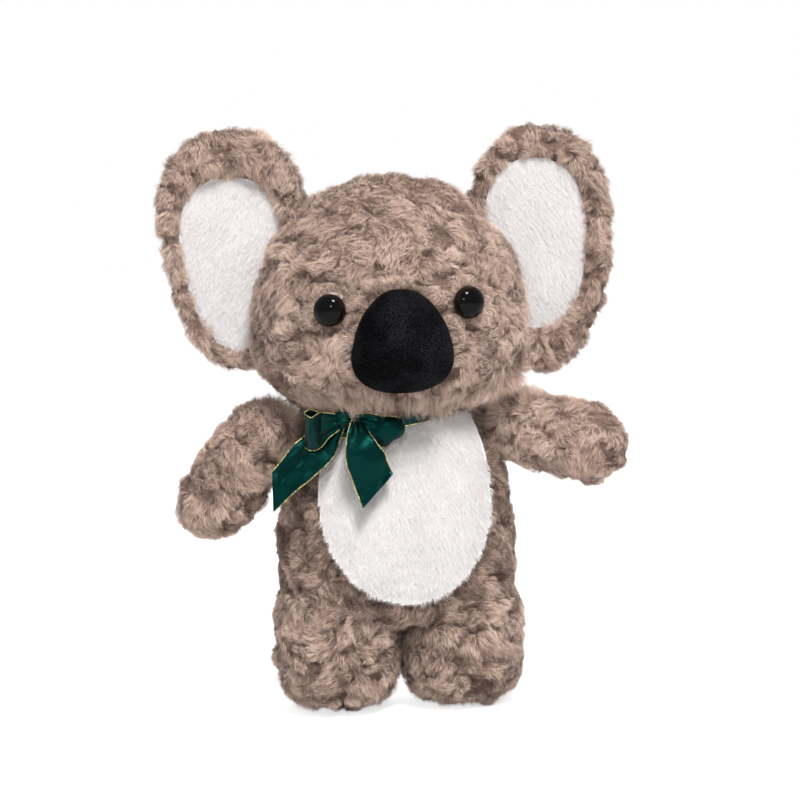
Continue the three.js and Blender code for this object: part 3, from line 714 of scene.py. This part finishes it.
def edge_comb(points):
    """Beside the belly panel the hair leans away from it. At the shoulders it is longer and stands up."""
    near = (1 - smooth(1.0, 1.1, panel_share(points)))[:, None]
    x, _, z = off_neck(points)
    shoulder = smooth(-20, -12, z) * smooth(28, 40, np.abs(x))
    push = 0.5 * near * unit(points - PANEL_MIDDLE) + shoulder * np.array([0, 0, 2.5])
    return push, 1 - 0.2 * near + 0.6 * shoulder, 0.4 * shoulder


def fringe_comb(points):
    """At its edge the panel's own pile leans out over the brown, more in some places than in others."""
    near = smooth(0.93, 0.99, panel_share(points))[:, None] * (0.7 + 0.7 * edge(points)[:, None])
    return near * unit(points - PANEL_MIDDLE), 1 + 0.25 * near, 0


body_surface = form_surface(
    body_form, CURL_INSET, CURL_BUMP, 220, 160, curled=True, seed=102,
    under=lambda points: 1 - smooth(0.985, 1.05, panel_share(points)))
white_surface = form_surface(body_form, WHITE_INSET, WHITE_BUMP)
body_skin = skin("body_skin", body_surface, brown_skin_and_shade, lambda p: panel_share(p) > 0.88)
belly_skin = skin("belly_skin", white_surface, white_skin, lambda p: panel_share(p) < 1.02)
# The torso's pile gets much darker tints, as painted shade.
fur("body_fur", body_surface, rough_curly, lambda p: (
    (panel_share(p) > 0.99 + 0.015 * edge(p)) & outside(p, head_form, *arms)
    & outside(p, *legs, reach=3.5 * MM)), "torso", 101, edge_comb, shade_tone=-0.30)
fur("belly_fur", white_surface, short, lambda p: (panel_share(p) < 1.0) & outside(p, head_form),
    "torso", 111, fringe_comb)
dressed(body_skin, "torso", "curly_pile", 0.8, "body_cover", "body_stuffing")
dressed(belly_skin, "torso", "white_pile", 0.8, "belly_panel")

for k, (name, form) in enumerate(leg_forms.items()):
    surface = form_surface(form, INSET, LUMP, seed=122 + 10 * k)
    piece = skin(f"leg_{name}_skin", surface, brown_skin_and_shade)
    dressed(piece, "torso", "curly_pile", 0.8, f"leg_{name}_cover", f"leg_{name}_stuffing")
    others = [leg for leg in legs if leg is not form]
    # The legs' pile gets slightly darker tints, as painted shade.
    fur(f"leg_{name}_fur", surface, rough_curly, lambda p: outside(p, body_form, *others),
        "torso", 121 + 10 * k, shade_tone=-0.07)


# Arms

ARM_CREASED = 0.65
# How far each arm's pile tints are shifted: below 0 they are darker, as painted shade
ARM_SHADE_TONES = {"right": -0.04, "left": 0.0}
ROOT_LONGER = {"right": 0.9, "left": 0.4}  # how much longer the hair on top of each arm's root is


def shoulder_comb(name):
    """On top of the arm's root the hair is longer and stands up against the head."""
    shoulder = np.array(arm_matrix(ARMS[name]).translation)
    side, longer = ARMS[name]["side"], ROOT_LONGER[name]

    def comb(points):
        off = (points - shoulder) / MM
        far = np.linalg.norm(off, axis=1, keepdims=True)
        near = (1 - smooth(18, 32, far)) * smooth(3, 12, off[:, 2:])
        if name == "right":
            near = near * (1 - smooth(-6, 8, side * off[:, :1]))
        return near * np.array([-0.6 * side, 0, 1.5]), 1 + longer * near, 0.8 * longer * near
    return comb


for k, (name, form) in enumerate(arm_forms.items()):
    body = f"arm_{name}"
    comb = shoulder_comb(name)
    surface = form_surface(form, INSET, LUMP, 150, 120, seed=142 + 10 * k, creased=ARM_CREASED)
    piece = skin(f"{body}_skin", surface, brown_skin_and_shade)
    dressed(piece, body, "curly_pile", 0.8, f"{body}_cover", f"{body}_stuffing")
    fur(f"{body}_fur", surface, curly, lambda p: outside(p, body_form, head_form),
        body, 141 + 10 * k, comb, shade_tone=ARM_SHADE_TONES[name])
    root = form_surface(ball_forms[name], INSET, ROOT_BUMP, 80, 60)
    piece = skin(f"{body}_root", root, brown_skin_and_shade, lambda p: outside(p, form, reach=5 * MM))
    dressed(piece, body, "curly_pile", 0.8)
    fur(f"{body}_root_fur", root, curly, lambda p: (
        outside(p, body_form, head_form, reach=5 * MM) & outside(p, form, reach=3 * MM)),
        body, 146 + 10 * k, comb)


# Head. Its pile parts round the eyes and the nose.

EYE_ASIDE, EYE_DROP = 34.3 * MM, 3.2 * MM  # from the head's middle
EYE_TURN, EYE_SUNK = 20, 1.2 * MM  # degrees outward, and how far into the head's outline
EYE_HOLE = 7.6 * MM  # the pile's opening


def eye_matrix(side):
    half = HEAD_SIZE / 2
    forward = half[1] * math.sqrt(1 - (EYE_ASIDE / half[0]) ** 2 - (EYE_DROP / half[2]) ** 2)
    outline = placed((side * EYE_ASIDE, -forward, -EYE_DROP), x=90, z=side * EYE_TURN)
    return Matrix(head_form.matrix) @ (outline @ Matrix.Translation((0, 0, -EYE_SUNK)))


eye_places = {name: eye_matrix(side) for name, side in (("right", -1), ("left", 1))}
eye_middles = [np.array(place.translation) for place in eye_places.values()]

# What the pile parts round: its middle, its radius and how far from there the pile still leans
PARTINGS = [(middle, 8 * MM, 9 * MM) for middle in eye_middles] + [(nose_form.matrix[:3, 3], 26 * MM, 8 * MM)]


def clear_of_eyes(points):
    kept = np.ones(len(points), bool)
    for middle in eye_middles:
        kept &= np.linalg.norm(points - middle, axis=1) > EYE_HOLE
    return kept


def face_comb(points):
    """Hair leans away from the eyes and the nose, and is shorter beside them. It is longer under the chin and
    low on the left cheek."""
    push = np.zeros(points.shape)
    share = np.ones((len(points), 1))
    for middle, radius, reach in PARTINGS:
        off = points - middle
        far = np.linalg.norm(off, axis=1, keepdims=True)
        near = 1 - smooth(radius, radius + reach, far)
        push += 2.5 * near * off / far
        share = np.minimum(share, 1 - 0.5 * near)
    x, y, z = off_neck(points)
    chin = (1 - smooth(-8, 2, z)) * smooth(22, 36, -y)
    cheek = (1 - smooth(0, 10, z)) * smooth(44, 54, x)
    push += chin * np.array([0, -1.6, -5]) + cheek * np.array([1.5, 0, -1.5])
    return push, share * (1 + 1.3 * chin + 1.4 * cheek), 0.5 * cheek


head_surface = form_surface(head_form, CURL_INSET, CURL_BUMP, 260, 180, curled=True, seed=202)
head_skin = skin("head_skin", head_surface, brown_skin_and_shade)
dressed(head_skin, "head", "curly_pile", 0.9, "head_cover", "head_stuffing")
fur("head_fur", head_surface, face_curly, lambda p: (
    outside(p, nose_form, reach=1 * MM) & outside(p, *ears, reach=4.5 * MM) & clear_of_eyes(p)),
    "head", 201, face_comb, shade_tone=-0.03)


# Ears. The white lining is set into the front of each.

EAR_CREASED = 0.7
# How far each ear's pile tints are shifted: below 0 they are darker, as painted shade
EAR_SHADE_TONES = {"right": 0.0, "left": -0.07}
LINING_MIDDLE, LINING_DISH = 1.0 * MM, 1.5 * MM  # how high its middle lies, and how much lower its edge


def ear_surface(form, lining, seed, nu=180, nv=120):
    """The ear's surface, which goes down to the lining where that is."""
    local = form.local(*laid_out(nu, nv), -INSET)
    seen = lining.to_local(form.to_world(local))
    half = lining.size / 2
    share = lining.section_share(seen[..., 0] / half[0], seen[..., 1] / half[1])
    sink = np.where(local[..., 2] > 0, 1 - smooth(0.97, 1.18, share), 0.0)
    seen[..., 2] = seen[..., 2] * (1 - sink) + (LINING_MIDDLE - LINING_DISH * share ** 2) * sink
    plain = Surface(lining.to_world(seen), True)
    plain.mounds = Mounds(plain, MOUND, seed)
    flat = plain.points.reshape(-1, 3)
    height = LUMP * lump_heights(flat) - EAR_CREASED * CREASE_DEPTH * plain.mounds.at(flat)[1]
    return moved_out(plain, height * (1 - sink.reshape(-1)))


def lining_share(form, lining):
    """A function that says under 1 at points inside the lining's outline on the ear's front."""
    def share(points):
        across, along, _ = (lining.to_local(points) / (lining.size / 2)).T
        return np.where(form.to_local(points)[:, 2] > -2 * MM, lining.section_share(across, along), FAR_OUT)
    return share


def rim_comb(share_at, middle):
    """Beside the lining the hair leans in over its edge, here more and there less."""
    def comb(points):
        near = (1 - smooth(1.02, 1.14, share_at(points)))[:, None]
        return near * (2.2 + 1.5 * edge(points)[:, None]) * unit(middle - points), 1 + 0.2 * near, 0
    return comb


def ear_flow(form):
    aside = 0.35 * np.sign(form.matrix[0, 3] - AXIS_X)
    return lambda points: np.array([aside, 0, -0.8])


for k, (name, form) in enumerate(ear_forms.items()):
    lining = lining_forms[name]
    share_at = lining_share(form, lining)
    surface = ear_surface(form, lining, 222 + 20 * k)
    cover = skin(f"ear_{name}_skin", surface, brown_skin_and_shade, lambda p: share_at(p) > 0.99)
    inner = skin(f"ear_{name}_inner", surface, white_skin, lambda p: share_at(p) < 1.01)
    dressed(cover, "head", "curly_pile", 0.7, f"ear_{name}_cover", f"ear_{name}_wadding")
    dressed(inner, "head", "white_pile", 0.5, f"ear_{name}_lining")
    fur(f"ear_{name}_fur", surface, curly, lambda p: (share_at(p) > 1.02) & outside(p, head_form),
        "head", 221 + 20 * k, rim_comb(share_at, lining.matrix[:3, 3]), shade_tone=EAR_SHADE_TONES[name])
    fur(f"ear_{name}_pile", surface, short._replace(flow=ear_flow(form)), lambda p: (
        (share_at(p) < 0.99) & outside(p, head_form)), "head", 231 + 20 * k)


# Nose: velour with fine speckles, in darker and lighter patches

NOSE_INSET, NOSE_BUMP = 0.3 * MM, 0.1 * MM
velour, shader = material_of("velour", {
    "Roughness": 0.6, "Specular IOR Level": 0.01, "Sheen Weight": 0.002, "Sheen Roughness": 0.4})
speckles = ramp(noise(shader, 1500, 4), ((0.38, (0.0006, 0.0006, 0.0008)), (0.64, (0.0150, 0.0157, 0.0183))))
patches = ramp(noise(shader, 60, 1), ((0.35, grey(0.3)), (0.65, grey(1.0))))
coloured(shader, multiplied(speckles, patches))
bumped(shader, noise(shader, 2200, 3), 0.2 * MM)
nose_surface = form_surface(nose_form, NOSE_INSET, NOSE_BUMP, 140, 100)
nose = skin("nose_felt", nose_surface, velour, lambda p: outside(p, head_form, reach=6 * MM))
dressed(nose, "head", "velour", 0.9, "nose_cover", "nose_padding")


# Eyes: a glossy dome on a ribbed stem, brown towards its rim

STEM_RADIUS, STEM_LENGTH, RIB, RIBS = 2.3 * MM, 14 * MM, 0.35 * MM, 4
DOME_RADIUS, DOME_HEIGHT, DOME_RIM = 8 * MM, 6.4 * MM, 0.8 * MM
AXIS_RADIUS = 0.01 * MM  # of the profile's points on the axis, so that no face there is empty

eye_gloss, shader = material_of("eye_gloss", {"Roughness": 0.04, "Specular IOR Level": 0.08})
coloured(shader, ramp(uv_parts(shader)[1], (
    (0.0, (0.004, 0.003, 0.002)), (0.36, (0.006, 0.004, 0.003)), (0.44, (0.012, 0.007, 0.004)),
    (0.56, (0.008, 0.005, 0.003)), (0.66, (0.001, 0.001, 0.001)), (1.0, (0.0005, 0.0005, 0.0005)))))


def eye_profile():
    """Radius and height from the stem's end, round the rim, to the dome's top."""
    profile = [(0, -STEM_LENGTH), (STEM_RADIUS - RIB, -STEM_LENGTH), (STEM_RADIUS, RIB - STEM_LENGTH)]
    pitch = STEM_LENGTH / (RIBS + 1)
    for k in range(RIBS, 0, -1):
        profile += [(STEM_RADIUS, -pitch * k - pitch / 6), (STEM_RADIUS + RIB, -pitch * k),
                    (STEM_RADIUS, -pitch * k + pitch / 3)]
    bevel = 0.6 * RIB
    profile += [(STEM_RADIUS, 0), (DOME_RADIUS - bevel, 0), (DOME_RADIUS, bevel), (DOME_RADIUS, DOME_RIM)]
    for angle in np.linspace(0, math.pi / 2, 25)[1:]:
        profile.append((
            DOME_RADIUS * math.cos(angle), DOME_RIM + (DOME_HEIGHT - DOME_RIM) * math.sin(angle)))
    return profile


def turned_mesh(name, profile, matrix, material, around=64):
    """The profile turned round the matrix's Z, with a UV map that runs round it and along the profile."""
    radius, height = np.array(profile).T
    angle = 2 * math.pi * np.arange(around)[:, None] / around
    x = np.maximum(radius, AXIS_RADIUS) * np.cos(angle)
    y = radius * np.sin(angle)
    grid = np.stack([x, y, np.broadcast_to(height, x.shape)], -1)
    turn = np.array(matrix)
    piece = grid_mesh(name, grid @ turn[:3, :3].T + turn[:3, 3], material, closed=True)
    u, v = np.meshgrid(np.arange(around + 1) / around, np.linspace(0, 1, len(profile)), indexing="ij")
    layer = piece.data.uv_layers.new(name="OFBake")
    layer.data.foreach_set("uv", cells(np.stack([u, v], -1), closed=False).astype(np.float32).ravel())
    return piece


for name, matrix in eye_places.items():
    eye = turned_mesh(f"eye_{name}_dome", eye_profile(), matrix, eye_gloss)
    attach(eye, "head")
    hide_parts(f"eye_{name}")

washer_plastic, shader = material_of("washer_plastic", {"Roughness": 0.5})
coloured(shader, ramp(noise(shader, 900), ((0.3, (0.76, 0.76, 0.73)), (0.7, (0.82, 0.82, 0.79)))))
for name in eye_places:
    bpy.data.objects[f"eye_{name}_washer"].material_slots[0].material = washer_plastic


# Bow: satin ribbon with a gold thread along each edge

RIBBON_WIDTH, RIBBON_THICKNESS = 20 * MM, 0.3 * MM
THREAD_RADIUS, THREAD_FLAT = 0.26, 0.09  # in mm, on average and how much more and less
THREAD_STEP = 0.45 * MM
THREAD_SIDES = 6

satin, shader = material_of("satin", {
    "Roughness": 0.31, "Specular IOR Level": 0.19, "Specular Tint": (0.08, 0.9, 0.8, 1)})
# Its colour is a little lighter and darker in noise patches, as painted sheen streaks.
coloured(shader, ramp(noise(shader, 260), ((0.25, (0.0001, 0.003, 0.0027)), (0.75, (0.0003, 0.006, 0.0055)))))
bumped(shader, noise(shader, 3000, 2, (1, 1, 0.15)), 0.05 * MM)

gold, shader = material_of("gold_thread", {"Metallic": 0.6, "Roughness": 0.35})
coloured(shader, ramp(noise(shader, 1800, 1), (
    (0.47, (0.05, 0.07, 0.02)), (0.54, (0.55, 0.46, 0.16)), (0.70, (0.88, 0.80, 0.42)))))


def through(points, count):
    """A smooth line through the points: so many places on it, evenly spaced."""
    points = np.array(points, float)
    padded = np.vstack([2 * points[0] - points[1], points, 2 * points[-1] - points[-2]])
    fine = []
    for k in range(len(points) - 1):
        a, b, c, d = padded[k:k + 4]
        t = np.linspace(0, 1, 24, endpoint=False)[:, None]
        fine.append(0.5 * (
            2 * b + (c - a) * t + (2 * a - 5 * b + 4 * c - d) * t ** 2 + (3 * b - a - 3 * c + d) * t ** 3))
    fine = np.vstack([*fine, points[-1:]])
    steps = np.concatenate([[0], np.cumsum(np.linalg.norm(np.diff(fine, axis=0), axis=1))])
    at = np.linspace(0, steps[-1], count)
    return np.stack([np.interp(at, steps, fine[:, k]) for k in range(3)], 1)


def thread(name, line):
    """A twisted gold thread along a line."""
    count = max(int(np.linalg.norm(np.diff(line, axis=0), axis=1).sum() / THREAD_STEP), 12)
    line = through(line, count)
    along = unit(np.gradient(line, axis=0))
    side = unit(np.cross(along, np.array([0.31, 0.72, 0.62])))
    other = np.cross(along, side)
    rows = []
    for k in range(THREAD_SIDES):
        angle = 2 * math.pi * k / THREAD_SIDES
        thick = (THREAD_RADIUS + THREAD_FLAT * np.cos(2 * (angle + 1.1 * np.arange(count))))[:, None] * MM
        rows.append(line + thick * (math.cos(angle) * side + math.sin(angle) * other))
    return grid_mesh(name, np.stack([*rows, rows[0]], 1), gold)


def ribbon(name, grid, node_name, closed=False):
    """A ribbon from a grid of points, along it and across it, with its thickness and gold edges, in place of
    the node. Its length is in mm."""
    sheet = grid_mesh(name, grid, satin, closed)
    solid = sheet.modifiers.new("thickness", "SOLIDIFY")
    solid.thickness = RIBBON_THICKNESS
    solid.offset = 0
    edges = []
    for label, line in (("upper", grid[:, 0]), ("lower", grid[:, -1])):
        line = np.vstack([line, line[:1]]) if closed else line
        edges.append(thread(f"{name}_{label}_thread", line))
    for piece in (sheet, *edges):
        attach(piece, "torso")
    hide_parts(node_name)
    return sheet


folds = field(31, 12 * MM)
FOLD_DEPTH = 0.55 * MM
PLEAT_DEPTH, PLEATS = 0.7 * MM, 5  # half waves across the ribbon


def draped(lines, camber=0.0, ends=1, count=72, across=13):
    """A ribbon's grid through two or three lines along it, in mm, from its upper edge to its lower one. Its
    middle bows out by the camber, and it is pleated at its start or at both ends."""
    rows = np.array([through(np.array(line) * MM, count) for line in lines])
    w = np.linspace(0, 1, across)[None, :, None]
    if len(rows) == 2:
        grid = rows[0][:, None] * (1 - w) + rows[1][:, None] * w
    else:
        grid = (rows[0][:, None] * (1 - w) * (1 - 2 * w) + rows[1][:, None] * 4 * w * (1 - w)
                + rows[2][:, None] * w * (2 * w - 1))
    plain = Surface(grid, False).normals
    if ends == 1:
        plain = plain * np.where(plain[..., 1:2] > 0, -1, 1)
    s = np.linspace(0, 1, count)[:, None, None]
    bow = camber * MM * 4 * w * (1 - w) * np.sin(np.pi * np.clip(s * 1.1, 0, 1)) ** 0.5
    gathered = 1 - smooth(0.03, 0.35, s) + (1 - smooth(0.03, 0.35, 1 - s) if ends == 2 else 0)
    soft = FOLD_DEPTH * folds(grid.reshape(-1, 3)).reshape(*grid.shape[:2], 1)
    return grid + plain * (bow + soft + PLEAT_DEPTH * np.cos(PLEATS * np.pi * w) * gathered)


# Lines along the loops and tails, in mm, from each one's upper edge to its lower edge, as photographed
RIGHT_LOOP = (
    ((-31, -29, 153), (-37, -31, 153.4), (-42.2, -35.5, 155), (-46.8, -38.5, 156.8), (-50.3, -41, 155.3),
     (-47, -43.5, 153.3), (-43.8, -41, 154.8), (-41.8, -37.5, 155.2), (-37.5, -34.5, 154.3),
     (-32, -32.5, 153.2)),
    ((-31, -28, 147), (-38, -26.5, 142.5), (-43, -27, 139), (-46.8, -28, 138.2), (-50.4, -31, 138),
     (-48.2, -34, 136.5), (-44.6, -33.5, 136.4), (-41, -32, 138.6), (-37.5, -31.5, 142.2), (-32.5, -32, 146)))
LEFT_LOOP = (
    ((-25, -28, 153), (-17, -28.5, 152.8), (-9, -29, 151.8), (-4, -30.5, 151), (-2.2, -33, 150.5),
     (-4.5, -34.5, 150.8), (-9, -34.5, 151.5), (-15, -33.5, 152.5), (-21, -32.5, 153), (-26, -32, 153)),
    ((-25, -28, 150), (-17, -28.2, 147), (-8, -29, 144), (-3, -31, 143.4), (-1.2, -34.5, 143.2),
     (-3.6, -37.6, 143.6), (-9.5, -38, 144.8), (-16, -35.8, 147), (-21.5, -33.6, 149.2), (-26, -32.5, 150.2)),
    ((-25, -28, 147), (-19, -28, 141), (-14, -28.2, 136.8), (-11.2, -29.5, 136.2), (-10, -31.5, 136.2),
     (-11.5, -33.5, 136.6), (-15, -33.8, 138.8), (-19, -33.2, 142), (-23, -32.3, 145.6), (-26, -32, 147.6)))
RIGHT_TAIL = (
    ((-30.2, -30, 151.6), (-35.8, -26.5, 148), (-42.0, -24.5, 145.6), (-46.9, -23.5, 143.9),
     (-50.4, -23.5, 141.9), (-55.7, -24.5, 137.4), (-60.9, -25.5, 131.4), (-66.1, -26, 125.9)),
    ((-29.3, -31, 149.2), (-32.3, -30.5, 141.6), (-34.2, -31, 135.7), (-37.8, -31.5, 130.3),
     (-42.9, -31.5, 125.9), (-49.2, -31, 120.7), (-56.7, -29.5, 114.8), (-66.3, -27, 105.8)))
LEFT_TAIL = (
    ((-26.2, -32, 150.6), (-28.5, -35, 145.2), (-30, -38, 138.8), (-30.3, -39.2, 132.9), (-29.7, -39, 127.6),
     (-28, -38.7, 122.7), (-25.7, -38.5, 115.3), (-23, -39.5, 107.3)),
    ((-21.6, -32.5, 151), (-17.4, -36, 143.2), (-14.5, -38.2, 138.3), (-11.4, -38.8, 134.3),
     (-10.6, -38.8, 131.5), (-9.9, -38.4, 129.1), (-8.6, -38.2, 126.0), (-7.5, -39, 123.3)))

# The knot's middle and size, how far outside it the ribbon wound round it lies, and how deep its ridges are
KNOT = np.array([NECK.x - 28 * MM, AXIS_Y - 40.5 * MM, BODY_TOP - 16.5 * MM])
KNOT_SIZE = np.array([11, 8.5, 9]) * MM
WRAP_OUT, WRAP_DEPTH = 0.2 * MM, 0.45 * MM

knot_form = Form(KNOT_SIZE, Matrix.Translation(KNOT), upper=2.6, lower=2.6)
u, v = np.meshgrid(np.arange(72) / 72, np.linspace(0.04, 0.96, 40), indexing="ij")
knot_grid = knot_form.to_world(knot_form.local(u, v, WRAP_OUT))
ridges = np.cos(2 * np.pi * (v * 3.5 + 0.25 * np.sin(2 * np.pi * u)))[..., None]
knot_grid = knot_grid + Surface(knot_grid, True).normals * WRAP_DEPTH * ridges
knot = ribbon("bow_knot_wrap", knot_grid, "bow_knot", closed=True)
ribbon("bow_right_loop", draped(RIGHT_LOOP, ends=2, count=110), "bow_loop_right")
ribbon("bow_left_loop", draped(LEFT_LOOP, ends=2, count=110), "bow_loop_left")
ribbon("bow_right_tail", draped(RIGHT_TAIL, camber=1.6), "bow_tail_right")
ribbon("bow_left_tail", draped(LEFT_TAIL, camber=1.3), "bow_tail_left")

# The band round the neck lies folded: how far out and up each line along it lies, in mm. In front it rises
# towards the toy's left, and it lies closer to the torso where the bow's left loop hides it.
BAND_FOLD = (
    (0.0, 0.0), (0.25, 4.0), (0.0, 7.6), (-0.35, 7.9), (-0.5, 4.5), (-0.6, 1.6), (-0.85, 1.4), (-1.0, 4.0),
    (-1.1, 7.0))
BAND_ASIDE, BAND_FORWARD, BAND_CLOSER, BAND_DROP = 41, 38.5, 8, 22.6
BAND_RISE = 0.15

ring = 2 * np.pi * np.arange(120) / 120
ring_across, ring_along = (np.sign(wave) * np.abs(wave) ** (2 / 3) for wave in (np.cos(ring), np.sin(ring)))
ring_x = AXIS_X + BAND_ASIDE * MM * ring_across
front = ring_along < 0
hidden = smooth(6 * MM, 20 * MM, ring_x) * front
band = np.stack([np.stack([
    ring_x + out * MM * ring_across,
    AXIS_Y + (BAND_FORWARD + out - BAND_CLOSER * hidden) * MM * ring_along,
    BODY_TOP + (up - BAND_DROP) * MM + BAND_RISE * (ring_x - AXIS_X) * front], 1)
    for out, up in BAND_FOLD], 1)
ribbon("neck_band", band, "neck_ribbon", closed=True)


# Floor, backdrop, lights and camera

def seen_ray(shader):
    """1 for rays that show the background: to the camera, mirrored or through glass."""
    path = node(shader, "ShaderNodeLightPath")
    seen = path.outputs["Is Camera Ray"]
    for kind in ("Is Glossy Ray", "Is Transmission Ray"):
        most = node(shader, "ShaderNodeMath", {0: seen, 1: path.outputs[kind]}, operation="MAXIMUM")
        seen = most.outputs["Value"]
    return seen


FLOOR_GLOW = (0.72, 0.72, 0.72, 1)  # seen, and not lighting anything
WORLD_LIGHT = 0.37  # its strength on the toy, where the camera sees 1

floor_material, shader = material_of("floor", {
    "Base Color": (0.9, 0.9, 0.9, 1), "Roughness": 0.9, "Specular IOR Level": 0})
glow = node(shader, "ShaderNodeEmission", {"Color": FLOOR_GLOW, "Strength": seen_ray(shader)})
both = node(shader, "ShaderNodeAddShader", {0: shader.outputs["BSDF"], 1: glow.outputs["Emission"]})
join(both.outputs["Shader"], floor_material.node_tree.nodes["Material Output"].inputs["Surface"])
bpy.ops.mesh.primitive_plane_add(size=12)
floor = bpy.context.object
floor.name = "floor"
floor.data.materials.append(floor_material)

world = bpy.data.worlds.new("studio")
bpy.context.scene.world = world
world.use_nodes = True
background = world.node_tree.nodes["Background"]
background.inputs["Color"].default_value = (1, 1, 1, 1)
level = node(background, "ShaderNodeMapRange", {"To Min": WORLD_LIGHT, "Value": seen_ray(background)})
join(level.outputs["Result"], background.inputs["Strength"])


LAMPS_AIM = Vector((0, 0, 150 * MM))


def lamp(name, at, size, power):
    data = bpy.data.lights.new(name, "AREA")
    data.size = size
    data.energy = power
    made = linked(name, data)
    made.location = at
    made.rotation_euler = (LAMPS_AIM - Vector(at)).to_track_quat("-Z", "Y").to_euler()


lamp("key", (0.2, -1.1, 1.8), size=0.45, power=54)
lamp("fill", (-0.35, -1.5, 0.75), size=0.16, power=5)
lamp("rim", (0.1, 0.9, 1.2), size=0.8, power=7)

# The photograph's view: from a little to the toy's right and above, and turned about 2 degrees in the picture
AZIMUTH, ELEVATION, ROLL = math.radians(-6), math.radians(5), math.radians(2)
DISTANCE = 1400 * MM
SENSOR = 36  # mm
PICTURE = 800  # px wide and high
PIXEL = 0.508 * MM  # what it covers at the toy
MIDDLE_COLUMN, MIDDLE_ROW = 391.5, 411  # where the photograph has the toy's middle, in px
TOY_MIDDLE = Vector((-2.1, 10.9, 150)) * MM

back = Vector((
    math.sin(AZIMUTH) * math.cos(ELEVATION), -math.cos(AZIMUTH) * math.cos(ELEVATION), math.sin(ELEVATION)))
turn = back.to_track_quat("Z", "Y").to_matrix().to_4x4() @ Matrix.Rotation(-ROLL, 4, "Z")
right, up = turn.col[0].to_3d(), turn.col[1].to_3d()
target = (
    TOY_MIDDLE + right * (PICTURE / 2 - MIDDLE_COLUMN) * PIXEL + up * (MIDDLE_ROW - PICTURE / 2) * PIXEL)
camera_data = bpy.data.cameras.new("photo_view")
camera_data.sensor_width = SENSOR
camera_data.lens = SENSOR * DISTANCE / (PICTURE * PIXEL)
camera_data.clip_end = 20
camera = linked("photo_view", camera_data)
camera.matrix_world = Matrix.Translation(target + back * DISTANCE) @ turn
bpy.context.scene.camera = camera
bpy.context.scene.view_settings.view_transform = "Standard"
